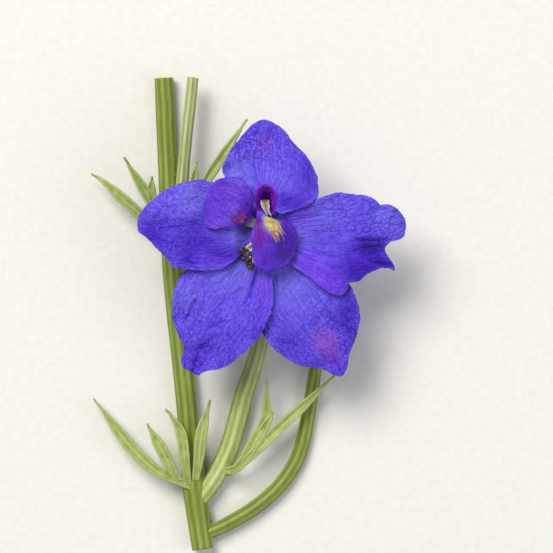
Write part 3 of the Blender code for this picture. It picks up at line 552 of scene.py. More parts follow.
def wrinkle(u, v, s, t, seed):
    """Relief of a sepal from 0 in a wrinkle to 1 between them; s and t run along and across in mm."""
    # Factors on s and t are wrinkles per millimetre; what is added to the seed parts the noises
    drift = noise.noise(Vector((s * 0.35, t * 0.35, seed + 5.0)))
    patch = 0.55 + 0.9 * noise.noise(Vector((s * 0.16, t * 0.16, seed + 7.0)))
    rim = ease((u - 0.12) / 0.5)
    veins = valleys(s * 0.22 + 0.5 * drift, v * 12.0 + 0.7 * drift, seed, 5.0)
    crepe = valleys(s * 1.0 + 0.9 * drift, t * 1.6 + 0.6 * drift, seed + 9.0, 4.0)
    fine = valleys(s * 2.2, t * 3.1, seed + 17.0, 3.2)
    depth = 0.42 * (1 - veins) * (1 - 0.6 * rim)
    depth += (0.60 * (1 - crepe) + 0.45 * (1 - fine)) * rim * min(max(patch, 0.60), 1.0)
    return min(max(1 - depth, 0.0), 1.0)

# %% Sheet builder for sepals and petals
SIDE_RIM = 0.10                          # share of the half-width that counts as rim
TIP_RIM = 0.05                           # share of the length that counts as rim
TEETH = ((0.16, 1.3, 40), (0.09, 4.0, 50))   # uneven rim: depth in mm, waves per mm, seed
CLAW = 0.07                              # share of the length that is pulled to the receptacle
CREASE_SHADE = 1.6                       # how much a crease darkens, per mm of its depth


def sheet(name, form, rows, columns, height, relief, relief_height, wall, rim_highlight):
    """Fine wrinkled blade between its measured edges, with its colours as "tint" and "mark"."""
    left, middle, right = (smooth_path(form[key], rows + 1) for key in ("left", "middle", "right"))
    length = sum((b - a).length for a, b in zip(middle, middle[1:]))
    seed = form["seed"]
    bm = bmesh.new()
    bmesh.ops.create_grid(bm, x_segments=columns, y_segments=rows, size=1.0)
    tint = bm.verts.layers.float_color.new("tint")
    mark = bm.verts.layers.float.new("mark")
    thick = bm.verts.layers.deform.verify()
    for vert in bm.verts:
        v, u = vert.co.x, (vert.co.y + 1) / 2
        row = round(u * rows)
        x, y = across(left[row], middle[row], right[row], v)
        rim = max(ease((abs(v) - 1 + SIDE_RIM) / SIDE_RIM), ease((u - 1 + TIP_RIM) / TIP_RIM))
        tooth = sum(depth * noise.noise(Vector((x * rate, y * rate, seed + more)))
                    for depth, rate, more in TEETH)
        out = Vector((x - middle[row].x, y - middle[row].y))
        if out.length > 1e-6:
            x += out.normalized().x * tooth * rim
            y += out.normalized().y * tooth * rim
        pull = form.get("attach", 0.0) * (1 - ease(u / CLAW))
        inward = Vector((RECEPTACLE[0] - x, RECEPTACLE[1] - y)).normalized() * pull
        x, y = x + inward.x, y + inward.y
        half = (right[row] - left[row]).length / 2
        ridge = relief(u, v, u * length, v * half, seed)
        crease = fold_height(form.get("creases", []), x, y)
        vert.co = (x, y, height(form, u, v, x, y) + relief_height * (ridge - 0.5) + crease)
        # Painted light and shade in the tint: green adds a painted highlight on the rim to the paler
        # tissue, and blue, the relief, is darkened in the creases as painted shade.
        vert[tint] = (spots_at(x, y, form["violet"]),
                      min(spots_at(x, y, form["pale"]) + rim_highlight * rim, 1.0),
                      min(max(ridge + CREASE_SHADE * crease, 0.0), 1.0),
                      spots_at(x, y, form.get("pink", [])))
        vert[mark] = spots_at(x, y, form.get("mark", []))
        vert[thick][0] = 1 - rim
    if "hole" in form:
        hx, hy, half_width, half_height = form["hole"]
        inside = [vert for vert in bm.verts
                  if math.hypot((vert.co.x - hx) / half_width, (vert.co.y - hy) / half_height) < 1]
        bmesh.ops.delete(bm, geom=inside, context="VERTS")
    piece = mesh_piece(name, bm)
    piece.vertex_groups.new(name="thick")
    return give_wall(piece, wall, RIM_THINNING)

# %% Make the five sepals
SEPAL_RELIEF = 0.30                      # height of the wrinkles
# Painted highlight: how much paler the rim is drawn.
SEPAL_RIM_HIGHLIGHT = 0.25                    # how much paler the rim is
for name, form in SEPALS.items():
    blade = sheet(name + "_blade", form, SEPAL_ROWS, SEPAL_COLUMNS, sepal_height, wrinkle,
                  SEPAL_RELIEF, SEPAL_WALL, SEPAL_RIM_HIGHLIGHT)
    finish_piece(blade, SEPAL_TISSUE, "sepal", name)

# %% [markdown]
# ## Spur and mouth
#
# The top sepal's claw is drawn out into a hollow spur that holds the nectar. From the front only its
# mouth shows, a dark magenta arch; from behind it is a slender downy horn. It is one closed skin: the
# outer wall from the blunt tip up to the mouth, over a rounded lip, and down inside again.

# %% Spur
# x, y, height over the bloom's plane, half-width and half-height of the spur, from mouth to tip
SPUR_RINGS = [
    (0.1, 3.2, 1.7, 1.95, 2.70), (0.1, 3.2, 0.5, 1.90, 2.62), (0.1, 3.4, -0.9, 1.90, 2.50),
    (0.1, 4.2, -2.8, 1.75, 2.15), (0.1, 5.7, -5.2, 1.50, 1.75), (0.1, 7.8, -7.8, 1.25, 1.40),
    (0.1, 10.3, -10.3, 1.05, 1.15), (0.1, 12.8, -12.4, 0.95, 1.00), (0.1, 14.7, -13.68, 0.90, 0.92),
]
MOUTH_TILT = 0.42                        # rise of the mouth's rim per mm towards its top
INSET = 0.05                             # the skin lies a little inside the solid's wall
LIP = 0.42                               # thickness of the rolled lip
LIP_STEPS = 8
THROAT = 1.00                            # how far the funnel narrows below the lip
FUNNEL_STEPS = 6
HOLLOW = 0.8                             # share of the spur's length that is hollow
SPUR_SIDES = 72
SPUR_STEPS = 110


def bridge(bm, low, high):
    """Faces between two rings of the same count."""
    for k in range(len(low)):
        bm.faces.new((low[k], low[k - 1], high[k - 1], high[k]))


def close_ring(bm, tint, ring):
    """Close a ring with a fan of faces round its middle, which takes the ring's tint."""
    middle = bm.verts.new(sum((vert.co for vert in ring), Vector()) / len(ring))
    middle[tint] = ring[0][tint]
    for k in range(len(ring)):
        bm.faces.new((ring[k], ring[k - 1], middle))


def spur_ring(path, i, shrink):
    """One oval ring of the spur, square to its spine and tilted at the mouth, as a list of points."""
    ring = path[i]
    before, after = path[max(i - 1, 0)], path[min(i + 1, len(path) - 1)]
    along = Vector((after[0] - before[0], after[1] - before[1], after[2] - before[2])).normalized()
    up = along.cross(Vector((1, 0, 0))).normalized()
    points = []
    for k in range(SPUR_SIDES):
        angle = math.tau * k / SPUR_SIDES
        wrinkled = 0.05 * noise.noise(Vector((2.4 * math.cos(angle), 2.4 * math.sin(angle), ring[2] * 0.8)))
        ribs = 0.035 * math.cos(7 * angle + 0.4 * ring[2])
        offset = Vector((1, 0, 0)) * (ring[3] - shrink) * math.cos(angle)
        offset += up * (ring[4] - shrink) * math.sin(angle)
        offset *= 1 + (wrinkled + ribs) * ease((1.2 - ring[2]) / 2.0)
        offset.z += MOUTH_TILT * offset.y * ease((ring[2] - 0.5) / 1.2)
        points.append(Vector(ring[:3]) + offset)
    return points


def make_spur():
    """The spur's skin. tint: how much it is arch, how deep in the throat, mottle, nearness to the tip."""
    path = smooth_path(SPUR_RINGS, SPUR_STEPS)
    outer = [spur_ring(path, i, INSET) for i in range(len(path))]
    lip = []
    for k in range(1, LIP_STEPS):
        turn = math.pi * k / LIP_STEPS
        ring = spur_ring(path, 0, LIP / 2 * (1 - math.cos(turn)))
        lip.append([p + Vector((0, 0, LIP / 2 * math.sin(turn))) for p in ring])
    inner = []
    for i in range(int(SPUR_STEPS * HOLLOW)):
        funnel = ease(i / FUNNEL_STEPS) * min(1.0, path[i][3] / path[0][3])
        inner.append(spur_ring(path, i, LIP + (THROAT - LIP) * funnel))
    bm = bmesh.new()
    tint = bm.verts.layers.float_color.new("tint")
    rings = []
    for j, loop in enumerate(list(reversed(outer)) + lip + inner):
        within = j - len(outer) - len(lip)
        rings.append([])
        for point in loop:
            vert = bm.verts.new(point)
            arch = 1.0 if j >= len(outer) else ease((point.z - 0.6) / 0.9)
            vert[tint] = (arch, ease((within - 0.15 * FUNNEL_STEPS) / (0.75 * FUNNEL_STEPS)),
                          0.5 + 0.5 * noise.noise(point * 2.2), ease((2.0 - point.z) / 14))
            rings[-1].append(vert)
    for low, high in zip(rings, rings[1:]):
        bridge(bm, low, high)
    close_ring(bm, tint, rings[0])
    close_ring(bm, tint, rings[-1])
    return mesh_piece("spur", bm, turn_faces_out=True)

# %% [markdown]
# The spur's skin is the same tissue, but coloured by where it is: magenta on the arch, a deep purple
# down the throat, and blue-violet fading to a greenish tip outside. The wall is thin, and the little
# daylight that comes through it is all the light there is in the throat, so it is given as a glow.

# %% Spur material
def spur_skin():
    """Dull violet skin with a magenta, slightly glossy lip."""
    made, tree, place = new_material("spur_skin")
    arch, throat, mottle, towards_tip = tint_of(tree)
    colour = layered(tree, mottle, [(0.2, "#3f2aa4"), (0.8, "#6653cc")],
                     (arch, [(0.2, "#660ea6"), (0.8, "#8024c4")]),
                     (throat, [(0.2, "#480684"), (0.8, "#6010a8")]))
    colour = darkened(tree, colour, 0.6, towards_tip, [(0.35, "#ffffff"), (1.0, "#c4cc9c")])
    glow = add_node(tree, "ShaderNodeMix", {"Factor": throat, "A": "#000000", "B": "#3c0268"},
                    data_type="RGBA")
    grain = add_node(tree, "ShaderNodeTexNoise", {"Scale": 5.2 / MM, "Detail": 2.0, "Vector": place})
    return finish_material(made, {
        "Base Color": colour, "Roughness": 0.5, "Specular IOR Level": 0.25,
        "Emission Color": glow, "Emission Strength": 0.5}, bump=(grain, 0.25, 0.08))


spur = finish_piece(make_spur(), spur_skin(), "sepal", "sepal_top")

# %% [markdown]
# ## Lower petals
#
# Two smaller petals stand in front of the sepals, each a round limb on a short claw. The left one
# spreads over the left sepal; the right one hangs down before the stamens, creased along its middle.
# They are redder than the sepals and their veins fan out more clearly.

# %% Petal tissue
def petal_tissue():
    """Red-violet blade with fine veins that fan from the claw, a touch glossier than a sepal."""
    made, tree, place = new_material("petal_tissue")
    dark, claw, veins, strip = tint_of(tree)
    waxy = add_node(tree, "ShaderNodeAttribute", attribute_name="mark").outputs["Fac"]
    # Painted light, partly: the claw ramp is the claw's own cream, drawn paler where the claw lies in
    # shade.
    colour = layered(tree, veins, [(0.30, "#3c109e"), (0.70, "#5127bc"), (1.00, "#6034cc")],
                     (dark, [(0.30, "#240078"), (1.00, "#4000a4")]),
                     (strip, "#5e0286"),
                     (claw, [(0.30, "#a4a684"), (1.00, "#e4e2c4")]),
                     (waxy, [(0.30, "#a89a54"), (1.00, "#d0c470")]))
    grain = add_node(tree, "ShaderNodeTexNoise", {"Scale": 7.0 / MM, "Detail": 2.0, "Vector": place})
    return finish_material(made, {
        "Base Color": colour, "Roughness": 0.5, "Specular IOR Level": 0.28,
        "Sheen Weight": 0.06, "Sheen Tint": "#b49cff"}, bump=(grain, 0.25, 0.06))

# %% Outlines of the lower petals
# mound: x, y, width and height of the cushion under the beard
PETAL_LEFT = {
    "left": [(-1.5, -1.2), (-2.4, -0.7), (-4.4, -0.8), (-6.4, -0.9), (-7.9, -1.1), (-9.1, -0.8),
             (-9.6, 0.4), (-9.7, 1.9), (-9.4, 3.6)],
    "middle": [(-1.3, -0.8), (-3.0, 0.2), (-6.8, 2.2), (-9.0, 4.5)],
    "right": [(-1.1, -0.5), (-1.45, 0.4), (-1.9, 1.2), (-2.0, 3.2), (-2.35, 5.0), (-3.2, 6.3),
              (-4.9, 6.9), (-6.7, 6.8), (-8.0, 6.1), (-8.7, 5.2)],
    "start": 0.3, "level": 3.1, "mound": (-4.3, 0.9, 1.1, 0.45), "seed": 51.0,
    "violet": [(-2.5, 2.6, 1.4, 0.8), (-2.6, 1.2, 1.4, 0.9), (-3.4, -0.2, 1.1, 0.9),
               (-4.4, 0.8, 1.2, 0.8)],
    # Painted light, partly: these pale spots are the cream claw, drawn larger and paler where it lies in
    # shade.
    "pale": [(-1.45, 0.3, 0.45, 1.0), (-1.6, -0.4, 0.75, 1.0), (-2.3, -0.75, 0.55, 0.9)],
    "pink": [(-4.1, 0.5, 1.2, 0.6), (-2.8, 0.5, 1.0, 0.4)],
}
PETAL_RIGHT = {
    "left": [(-1.25, 1.6), (-1.3, 0.7), (-1.5, -0.2), (-1.95, -1.1), (-2.1, -2.3), (-2.0, -4.1),
             (-1.9, -5.7), (-1.5, -7.1)],
    "middle": [(-0.8, 1.75), (-0.3, 0.5), (0.5, -0.9), (1.2, -2.6), (1.3, -4.4), (0.2, -7.7)],
    "right": [(-0.35, 1.7), (0.3, 0.9), (1.7, 0.3), (3.4, 0.1), (4.8, -1.4), (4.9, -3.6), (4.2, -5.7),
              (3.0, -6.9), (1.6, -7.5)],
    "start": 1.9, "level": 3.2, "mound": (0.9, -0.6, 1.3, 0.50), "seed": 62.0,
    "violet": [(3.3, -0.9, 1.6, 1.0), (3.5, -2.8, 2.0, 1.0), (3.1, -5.0, 1.7, 0.9), (2.2, -2.2, 1.0, 0.7),
               (0.4, -5.8, 2.0, 0.45), (-0.6, -7.0, 1.4, 0.35)],
    "pale": [(0.0, 0.55, 0.4, 0.5)],
    "pink": [(-1.2, -1.1, 0.8, 0.9), (-0.8, -2.4, 1.0, 0.9), (-0.8, 0.2, 0.7, 0.9),
             (-1.0, -3.6, 0.8, 0.4), (2.4, 0.0, 0.5, 0.9)],
    "mark": [(0.6, 0.1, 0.62, 1.0), (1.1, -0.5, 0.90, 1.0), (1.5, -1.1, 0.62, 0.7)],
}


def petal_height(form, u, v, x, y):
    """Height of a lower petal's limb: claw, round limb with turned edges, and the beard's mound."""
    height = form["start"] + (form["level"] - form["start"]) * ease(u / 0.30)
    height += 0.25 * math.sin(math.tau * 2.0 * u + 2.0) * abs(v) ** 2 * ease(u / 0.5)
    mx, my, width, rise = form["mound"]
    return height + rise * math.exp(-((x - mx) ** 2 + (y - my) ** 2) / width ** 2)


def right_petal_height(form, u, v, x, y):
    """The right petal is creased down its middle, its outer half turned down and its tip drooping."""
    height = petal_height(form, u, v, x, y)
    height -= 1.0 * ease(v / 0.9) * ease(u / 0.3)
    return height - 0.5 * ease((u - 0.5) / 0.5)


def petal_veins(u, v, s, t, seed):
    """Fan of fine veins over a soft crinkle, from 0 in the veins to 1 between them."""
    fan = valleys(u * 1.6, v * 10.0, seed, 4.5)
    crinkle = valleys(s * 1.6, t * 2.2, seed + 3.0, 3.5)
    return 1 - 0.35 * (1 - fan) - 0.35 * (1 - crinkle)

# %% Make the lower petals
PETAL_TISSUE = petal_tissue()
PETAL_ROWS = 110
PETAL_COLUMNS = 84
PETAL_RELIEF = 0.12
PETAL_WALL = 0.28
for name, form, height in (("petal_lower_left", PETAL_LEFT, petal_height),
                           ("petal_lower_right", PETAL_RIGHT, right_petal_height)):
    limb = sheet(name + "_limb", form, PETAL_ROWS, PETAL_COLUMNS, height, petal_veins,
                 PETAL_RELIEF, PETAL_WALL, 0.0)
    finish_piece(limb, PETAL_TISSUE, "petal", name)

# %% [markdown]
# ## Hairs by Geometry Nodes
#
# Beards, down on the stems and down on the spur are the same thing at different sizes: tapered hairs
# scattered over a skin. One node tree does them all. It scatters points on the faces, stands a thin
# bent cone on each, leans it along a given direction, varies its length, makes the copies real and
# gives them their material. The inputs are named, and the seed is fixed.

# %% Hair tree
HAIR_INPUTS = {"Geometry": "Geometry", "Density": "Float", "Length": "Float", "Radius": "Float",
               "Bend": "Float", "Spread": "Float", "Lean": "Vector", "Seed": "Int", "Material": "Material"}


def hair_tree():
    """Geometry Nodes tree that turns a skin into the hairs that grow on it."""
    tree = bpy.data.node_groups.new("hairs_on_skin", "GeometryNodeTree")
    for name, kind in HAIR_INPUTS.items():
        tree.interface.new_socket(name, in_out="INPUT", socket_type="NodeSocket" + kind)
    tree.interface.new_socket("Geometry", in_out="OUTPUT", socket_type="NodeSocketGeometry")
    given = add_node(tree, "NodeGroupInput").outputs
    seed, lean = given["Seed"], given["Lean"]
    points = add_node(tree, "GeometryNodeDistributePointsOnFaces",
                      {"Mesh": given["Geometry"], "Density": given["Density"], "Seed": seed})
    # One hair: a cone, bent sideways by the square of the height
    tip = add_node(tree, "ShaderNodeMath", {0: given["Radius"], 1: 0.25}, operation="MULTIPLY")
    cone = add_node(tree, "GeometryNodeMeshCone",
                    {"Vertices": 4, "Side Segments": 4, "Radius Top": tip,
                     "Radius Bottom": given["Radius"], "Depth": given["Length"]})
    place = add_node(tree, "GeometryNodeInputPosition")
    bend = height = add_node(tree, "ShaderNodeSeparateXYZ", {0: place}).outputs["Z"]
    for operation, by in (("MULTIPLY", height), ("DIVIDE", given["Length"]), ("MULTIPLY", given["Bend"])):
        bend = add_node(tree, "ShaderNodeMath", {0: bend, 1: by}, operation=operation)
    offset = add_node(tree, "ShaderNodeCombineXYZ", {"X": bend})
    bent = add_node(tree, "GeometryNodeSetPosition", {"Geometry": cone, "Offset": offset})
    # Where it stands: along the skin's normal, leaned over, and a little astray
    astray = add_node(tree, "FunctionNodeRandomValue",
                      {"Min": (-1.0, -1.0, -1.0), "Max": (1.0, 1.0, 1.0), "Seed": seed},
                      data_type="FLOAT_VECTOR")
    spread = add_node(tree, "ShaderNodeVectorMath", {0: astray, "Scale": given["Spread"]},
                      operation="SCALE")
    aim = points.outputs["Normal"]
    for part in (lean, spread):
        aim = add_node(tree, "ShaderNodeVectorMath", {0: aim, 1: part}, operation="ADD")
    stand = add_node(tree, "FunctionNodeAlignRotationToVector", {"Vector": aim}, axis="Z")
    turn = add_node(tree, "FunctionNodeAlignRotationToVector", {"Rotation": stand, "Vector": lean},
                    axis="X", pivot_axis="Z")
    size = add_node(tree, "FunctionNodeRandomValue", {"Min": 0.55, "Max": 1.0, "Seed": seed})
    copies = add_node(tree, "GeometryNodeInstanceOnPoints",
                      {"Points": points, "Instance": bent, "Rotation": turn, "Scale": size})
    real = add_node(tree, "GeometryNodeRealizeInstances", {"Geometry": copies})
    dyed = add_node(tree, "GeometryNodeSetMaterial", {"Geometry": real, "Material": given["Material"]})
    add_node(tree, "NodeGroupOutput", {0: dyed})
    return tree


HAIR_TREE = hair_tree()


def grow_hairs(name, skin, material, per_mm2, length, radius, lean, spread, bend, seed):
    """Hairs on a copy of a skin, as a mesh object of their own. Lengths in millimetres."""
    piece = bpy.data.objects.new(name, skin.data.copy())
    bpy.context.scene.collection.objects.link(piece)
    grow = piece.modifiers.new("hairs", "NODES")
    grow.node_group = HAIR_TREE
    values = {"Density": per_mm2 / MM ** 2, "Length": length * MM, "Radius": radius * MM, "Bend": bend,
              "Spread": spread, "Lean": lean, "Seed": seed, "Material": material}
    for item in HAIR_TREE.interface.items_tree:
        if item.in_out == "INPUT" and item.name in values:
            grow[item.identifier] = values[item.name]
    return freeze(piece)


DOWN_SPREAD = 0.5
DOWN_BEND = 0.1
# Hairs per mm2, their length, radius and lean
STEM_HAIRS = (1.6, 0.34, 0.016, (0.0, 0.25, 0.0))
SPUR_HAIRS = (2.2, 0.26, 0.014, (0.0, 0.3, -0.3))
LEAF_HAIRS = (1.4, 0.28, 0.013, (0.0, 0.2, 0.0))


def add_down(skin, name, slot, node, material, hairs, seed):
    """Short soft down on a finished piece, as a piece of its own."""
    down = grow_hairs(name + "_down", skin, material, *hairs, DOWN_SPREAD, DOWN_BEND, seed)
    finish_piece(down, material, slot, node)

# %% [markdown]
# Beard hairs are stiff and waxy, yellow with orange tips on the right petal and orange-red on the
# left. No two are the same shade, so their colour varies by a noise over Object coordinates.

# %% Hair materials
def thin_part(name, dark, light, roughness):
    """Waxy or dry tissue of a thin part: a low gloss, and a slow change between two shades."""
    return mottled(name, 1.4, 1.0, [(0.35, dark), (0.65, light)], {"Roughness": roughness})


YELLOW_BEARD = thin_part("waxy_yellow_hair", "#b4a658", "#dcd294", 0.4)
ORANGE_TIPS = thin_part("waxy_orange_tipped_hair", "#cc8c50", "#e8cca4", 0.4)
ORANGE_BEARD = thin_part("waxy_orange_hair", "#7c2424", "#b85c3c", 0.4)
STEM_DOWN = thin_part("white_stem_down", "#c9cfa6", "#e6e9d0", 0.6)
SPUR_DOWN = thin_part("pale_violet_down", "#8f86d0", "#c3bcec", 0.6)

# %% Beards
PATCH_CLEARANCE = 0.05                   # height of a beard's patch over its petal's middle surface


def beard_patch(form, height, centre, radii, turn):
    """Small oval piece of a petal's surface, that a beard grows from."""
    bm = bmesh.new()
    bmesh.ops.create_circle(bm, cap_ends=True, segments=32, radius=1.0)
    bmesh.ops.subdivide_edges(bm, edges=bm.edges, cuts=1)
    bmesh.ops.triangulate(bm, faces=bm.faces)
    for vert in bm.verts:
        px, py = vert.co.x * radii[0], vert.co.y * radii[1]
        x = centre[0] + px * math.cos(turn) - py * math.sin(turn)
        y = centre[1] + px * math.sin(turn) + py * math.cos(turn)
        vert.co = (x, y, height(form, 0.45, 0.0, x, y) + PATCH_CLEARANCE)
    return mesh_piece("patch", bm)


BEARDS = [
    # name, node, form, height, (centre, half-sizes, turn of the patch),
    # (material, hairs per mm2, their length, radius, lean and spread)
    ("beard_yellow", "petal_lower_right", PETAL_RIGHT, right_petal_height,
     ((1.0, -0.45), (1.10, 1.25), 0.55), (YELLOW_BEARD, 26.0, 0.60, 0.05, (0.8, -1.2, 0.3), 0.6)),
    ("beard_long", "petal_lower_right", PETAL_RIGHT, right_petal_height,
     ((1.5, -1.2), (1.15, 0.75), 0.60), (ORANGE_TIPS, 9.0, 2.0, 0.065, (1.0, -1.9, -0.15), 0.50)),
    ("beard_orange", "petal_lower_left", PETAL_LEFT, petal_height,
     ((-4.2, 0.8), (0.95, 0.85), 0.0), (ORANGE_BEARD, 30.0, 0.9, 0.05, (0.25, -0.4, 0.2), 0.9)),
]
BEARD_BEND = 0.25
for seed, (name, node, form, height, oval, hairs) in enumerate(BEARDS, 11):
    patch = beard_patch(form, height, *oval)
    finish_piece(grow_hairs(name, patch, *hairs, BEARD_BEND, seed), hairs[0], "petal", node)
    bpy.data.objects.remove(patch, do_unlink=True)

# %% [markdown]
# ## Upper petals
#
# The two upper petals are narrow and cream at the tip. Each sends a nectary back into the spur, so
# only the tips stand in the mouth, side by side with a slit between them.

# %% Upper petals
# Each half runs between the slit and its own outer edge: x, y, height over the bloom's plane
SLIT_EDGE = [(0.0, 3.6, -3.0), (0.0, 3.4, -0.5), (0.0, 3.3, 0.8), (0.0, 2.90, 1.9), (0.10, 2.4, 2.3),
             (0.25, 1.8, 2.3), (0.60, 1.1, 2.1)]
UPPER_HALVES = {
    -1: [(-0.45, 3.6, -3.0), (-0.58, 3.4, -0.5), (-0.68, 3.3, 0.8), (-0.69, 2.93, 1.8), (-0.50, 2.3, 2.15),
         (-0.14, 1.7, 2.15), (0.35, 1.1, 2.1)],
    1: [(0.45, 3.6, -3.0), (0.58, 3.4, -0.5), (0.66, 3.3, 0.8), (0.62, 2.95, 1.8), (0.73, 2.4, 2.15),
        (0.66, 1.8, 2.25), (0.98, 0.95, 2.1)],
}
UPPER_ROWS = 60
UPPER_COLUMNS = 12
UPPER_WALL = 0.22


def make_upper_petals():
    """Two halves of the folded blade, each a little cupped, with the slit between them."""
    slit = smooth_path(SLIT_EDGE, UPPER_ROWS + 1)
    bm = bmesh.new()
    tint = bm.verts.layers.float_color.new("tint")
    for side, edge in UPPER_HALVES.items():
        outer = smooth_path(edge, UPPER_ROWS + 1)
        grid = bmesh.ops.create_grid(bm, x_segments=UPPER_COLUMNS, y_segments=UPPER_ROWS, size=1.0)
        for vert in grid["verts"]:
            out, u = (vert.co.x + 1) / 2, (vert.co.y + 1) / 2
            row = round(u * UPPER_ROWS)
            place = slit[row].lerp(outer[row], out)
            gap = 0.02 + 0.06 * ease((u - 0.7) / 0.3)
            place.x += side * gap * (1 - out)
            place.z += 0.20 * (out - 0.35) ** 2
            vert.co = place
            pale = max(ease((out - 0.55) / 0.35), ease((u - 0.80) / 0.15) * 0.4)
            vert[tint] = (pale, pale, pale, 1.0)
    return give_wall(mesh_piece("upper_petal_pair", bm, turn_faces_out=True), UPPER_WALL)


# Cream petal tips: matt, with warmer hollows and pinkish edges
CREAM_TISSUE = mottled("cream_petal_tissue", 1.5, 3.0, [(0.3, "#7a7048"), (0.7, "#9a9064")],
                       {"Roughness": 0.6}, over=["#c0b0b4"], bump=(0.3, 0.05))
finish_piece(make_upper_petals(), CREAM_TISSUE, "cream", "petals_upper")

# %% [markdown]
# ## Tubes
#
# Filaments, styles and stems are tubes of changing width. A loft of rings along a smooth path gives
# full control of ribs and swellings: each ring is a circle whose radius is changed by a rule that
# knows the angle and the place along the tube. The frame is carried along the path without twist.

# %% Tube builder
# How a tube's end is closed: (share of the radius, depth below the end in radii), ring by ring
SLICED_END = ((0.93, 0.0), (0.82, 0.10), (0.45, 0.14), (0.30, 0.30))
ROUND_END = ((0.6, -0.25),)


def carry_frames(path):
    """Side and up vectors along a path, turned as little as possible from point to point."""
    frames = []
    side = None
    for i in range(len(path)):
        before, after = path[max(i - 1, 0)].xyz, path[min(i + 1, len(path) - 1)].xyz
        along = (after - before).normalized()
        if side is None:
            guess = Vector((0, 0, 1)) if abs(along.z) < 0.9 else Vector((1, 0, 0))
            side = along.cross(guess).normalized()
        side = (side - along * side.dot(along)).normalized()
        frames.append((side, side.cross(along).normalized()))
    return frames


def plain_rule(radius, angle, point):
    """Rule of a smooth tube: the radius as it is everywhere, and the rib mark halfway."""
    return radius, 0.5


def loft(bm, route, rings, sides, rule=plain_rule, cut_start=False, cut_end=False):
    """Closed tube through (x, y, z, radius). tint: sliced end, how far in it is, rib mark."""
    path = smooth_path(route, rings)
    tint = bm.verts.layers.float_color.get("tint") or bm.verts.layers.float_color.new("tint")
    loops = []
    for point, (side, up) in zip(path, carry_frames(path)):
        loops.append([])
        for k in range(sides):
            angle = math.tau * k / sides
            radius, mark = rule(point.w, angle, point)
            vert = bm.verts.new(point.xyz + (side * math.cos(angle) + up * math.sin(angle)) * radius)
            vert[tint] = (0.0, 0.0, mark, 0.0)
            loops[-1].append(vert)
    for loop, inward, sliced in ((loops[0], path[1].xyz - path[0].xyz, cut_start),
                                 (loops[-1], path[-2].xyz - path[-1].xyz, cut_end)):
        centre = sum((vert.co for vert in loop), Vector()) / sides
        inward = inward.normalized()
        last = loop
        for shrink, depth in (SLICED_END if sliced else ROUND_END):
            ring = []
            for vert in loop:
                radius = (vert.co - centre).length
                made = bm.verts.new(centre + (vert.co - centre) * shrink + inward * depth * radius)
                made[tint] = (1.0 if sliced else 0.0, 1 - shrink, 0.6, 0.0)
                ring.append(made)
            bridge(bm, last, ring)
            last = ring
        close_ring(bm, tint, last)
    for low, high in zip(loops, loops[1:]):
        bridge(bm, low, high)

# %% [markdown]
# ## Stamens and pistil
#
# Stamens ring three carpels under the right petal and spill out to the lower left. Their filaments
# are cream, thicker at the foot and thread-thin at the top, and the anthers are nearly black and
# split lengthwise. A few more than the solids show fill the cluster.

# %% Stamens
STAMEN_RING = (-0.2, -2.2, 0.12, 1.0)    # x, y, height over the bloom's plane, radius
ANTHERS = [(-3.9, -4.6, 2.5), (-3.4, -5.7, 2.5), (-2.9, -4.7, 2.1), (-2.3, -5.7, 2.0),
           (-2.6, -6.9, 1.9), (-3.3, -4.3, 2.7), (-1.3, -5.6, 1.6), (-0.2, -5.2, 1.4),
           (-3.1, -5.2, 2.6), (-2.2, -6.3, 2.1), (-3.5, -4.9, 2.3), (-2.7, -5.9, 2.4),
           (-2.2, -7.2, 2.0), (-2.4, -4.9, 2.5), (-2.9, -6.3, 2.2), (-2.0, -6.8, 2.3)]
ANTHER_HALF = (0.30, 0.55, 0.26)         # half-sizes of one
anther_draw = random.Random(7)


def make_filaments():
    """Threads from the ring round the pistil, each rising and then bending out to its anther."""
    cx, cy, height, radius = STAMEN_RING
    bm = bmesh.new()
    for i, (x, y, z) in enumerate(ANTHERS):
        angle = math.atan2(y - cy, x - cx) + 0.5 * math.sin(2.4 * i)
        root = (cx + radius * math.cos(angle), cy + radius * math.sin(angle), height)
        bend = (root[0] * 0.6 + x * 0.4, root[1] * 0.6 + y * 0.4, height + 1.15 + 0.05 * i)
        loft(bm, [(*root, 0.22), (*bend, 0.15), (x, y, z, 0.09)], rings=18, sides=8)
    return mesh_piece("filaments", bm, turn_faces_out=True)


def make_anthers():
    """Two-lobed anthers, each a stretched sphere with a groove round its length."""
    bm = bmesh.new()
    for x, y, z in ANTHERS:
        ball = bmesh.ops.create_uvsphere(bm, u_segments=18, v_segments=12, radius=1.0)
        turn = anther_draw.uniform(-0.9, 0.9) + 0.5
        size = anther_draw.uniform(0.85, 1.1)
        lift = anther_draw.uniform(-0.3, 0.3)
        for vert in ball["verts"]:
            a, b, c = vert.co
            groove = 1 - 0.28 * math.exp(-(a / 0.28) ** 2) * abs(c)
            px, py, pz = (a * ANTHER_HALF[0] * size, b * ANTHER_HALF[1] * size, c * ANTHER_HALF[2] * groove)
            vert.co = (x + px * math.cos(turn) - py * math.sin(turn),
                       y + px * math.sin(turn) + py * math.cos(turn), z + 0.1 + pz + lift * py)
    return mesh_piece("anthers", bm)


# Dry anther: nearly black and a little glossy, with dull greyish pollen here and there
ANTHER_SKIN = mottled("dry_anther_skin", 2.4, 3.0,
                      [(0.40, "#12040c"), (0.58, "#30101c"), (0.72, "#70505a")],
                      {"Roughness": 0.45}, bump=(0.5, 0.06))
FILAMENT_TISSUE = thin_part("pale_filament", "#b4a098", "#e6dacb", 0.5)
finish_piece(make_filaments(), FILAMENT_TISSUE, "cream", "stamens")
finish_piece(make_anthers(), ANTHER_SKIN, "anther", "stamens")

# %% Pistil
CARPEL_GREEN = thin_part("young_carpel", "#8f9a5c", "#b7bf86", 0.5)


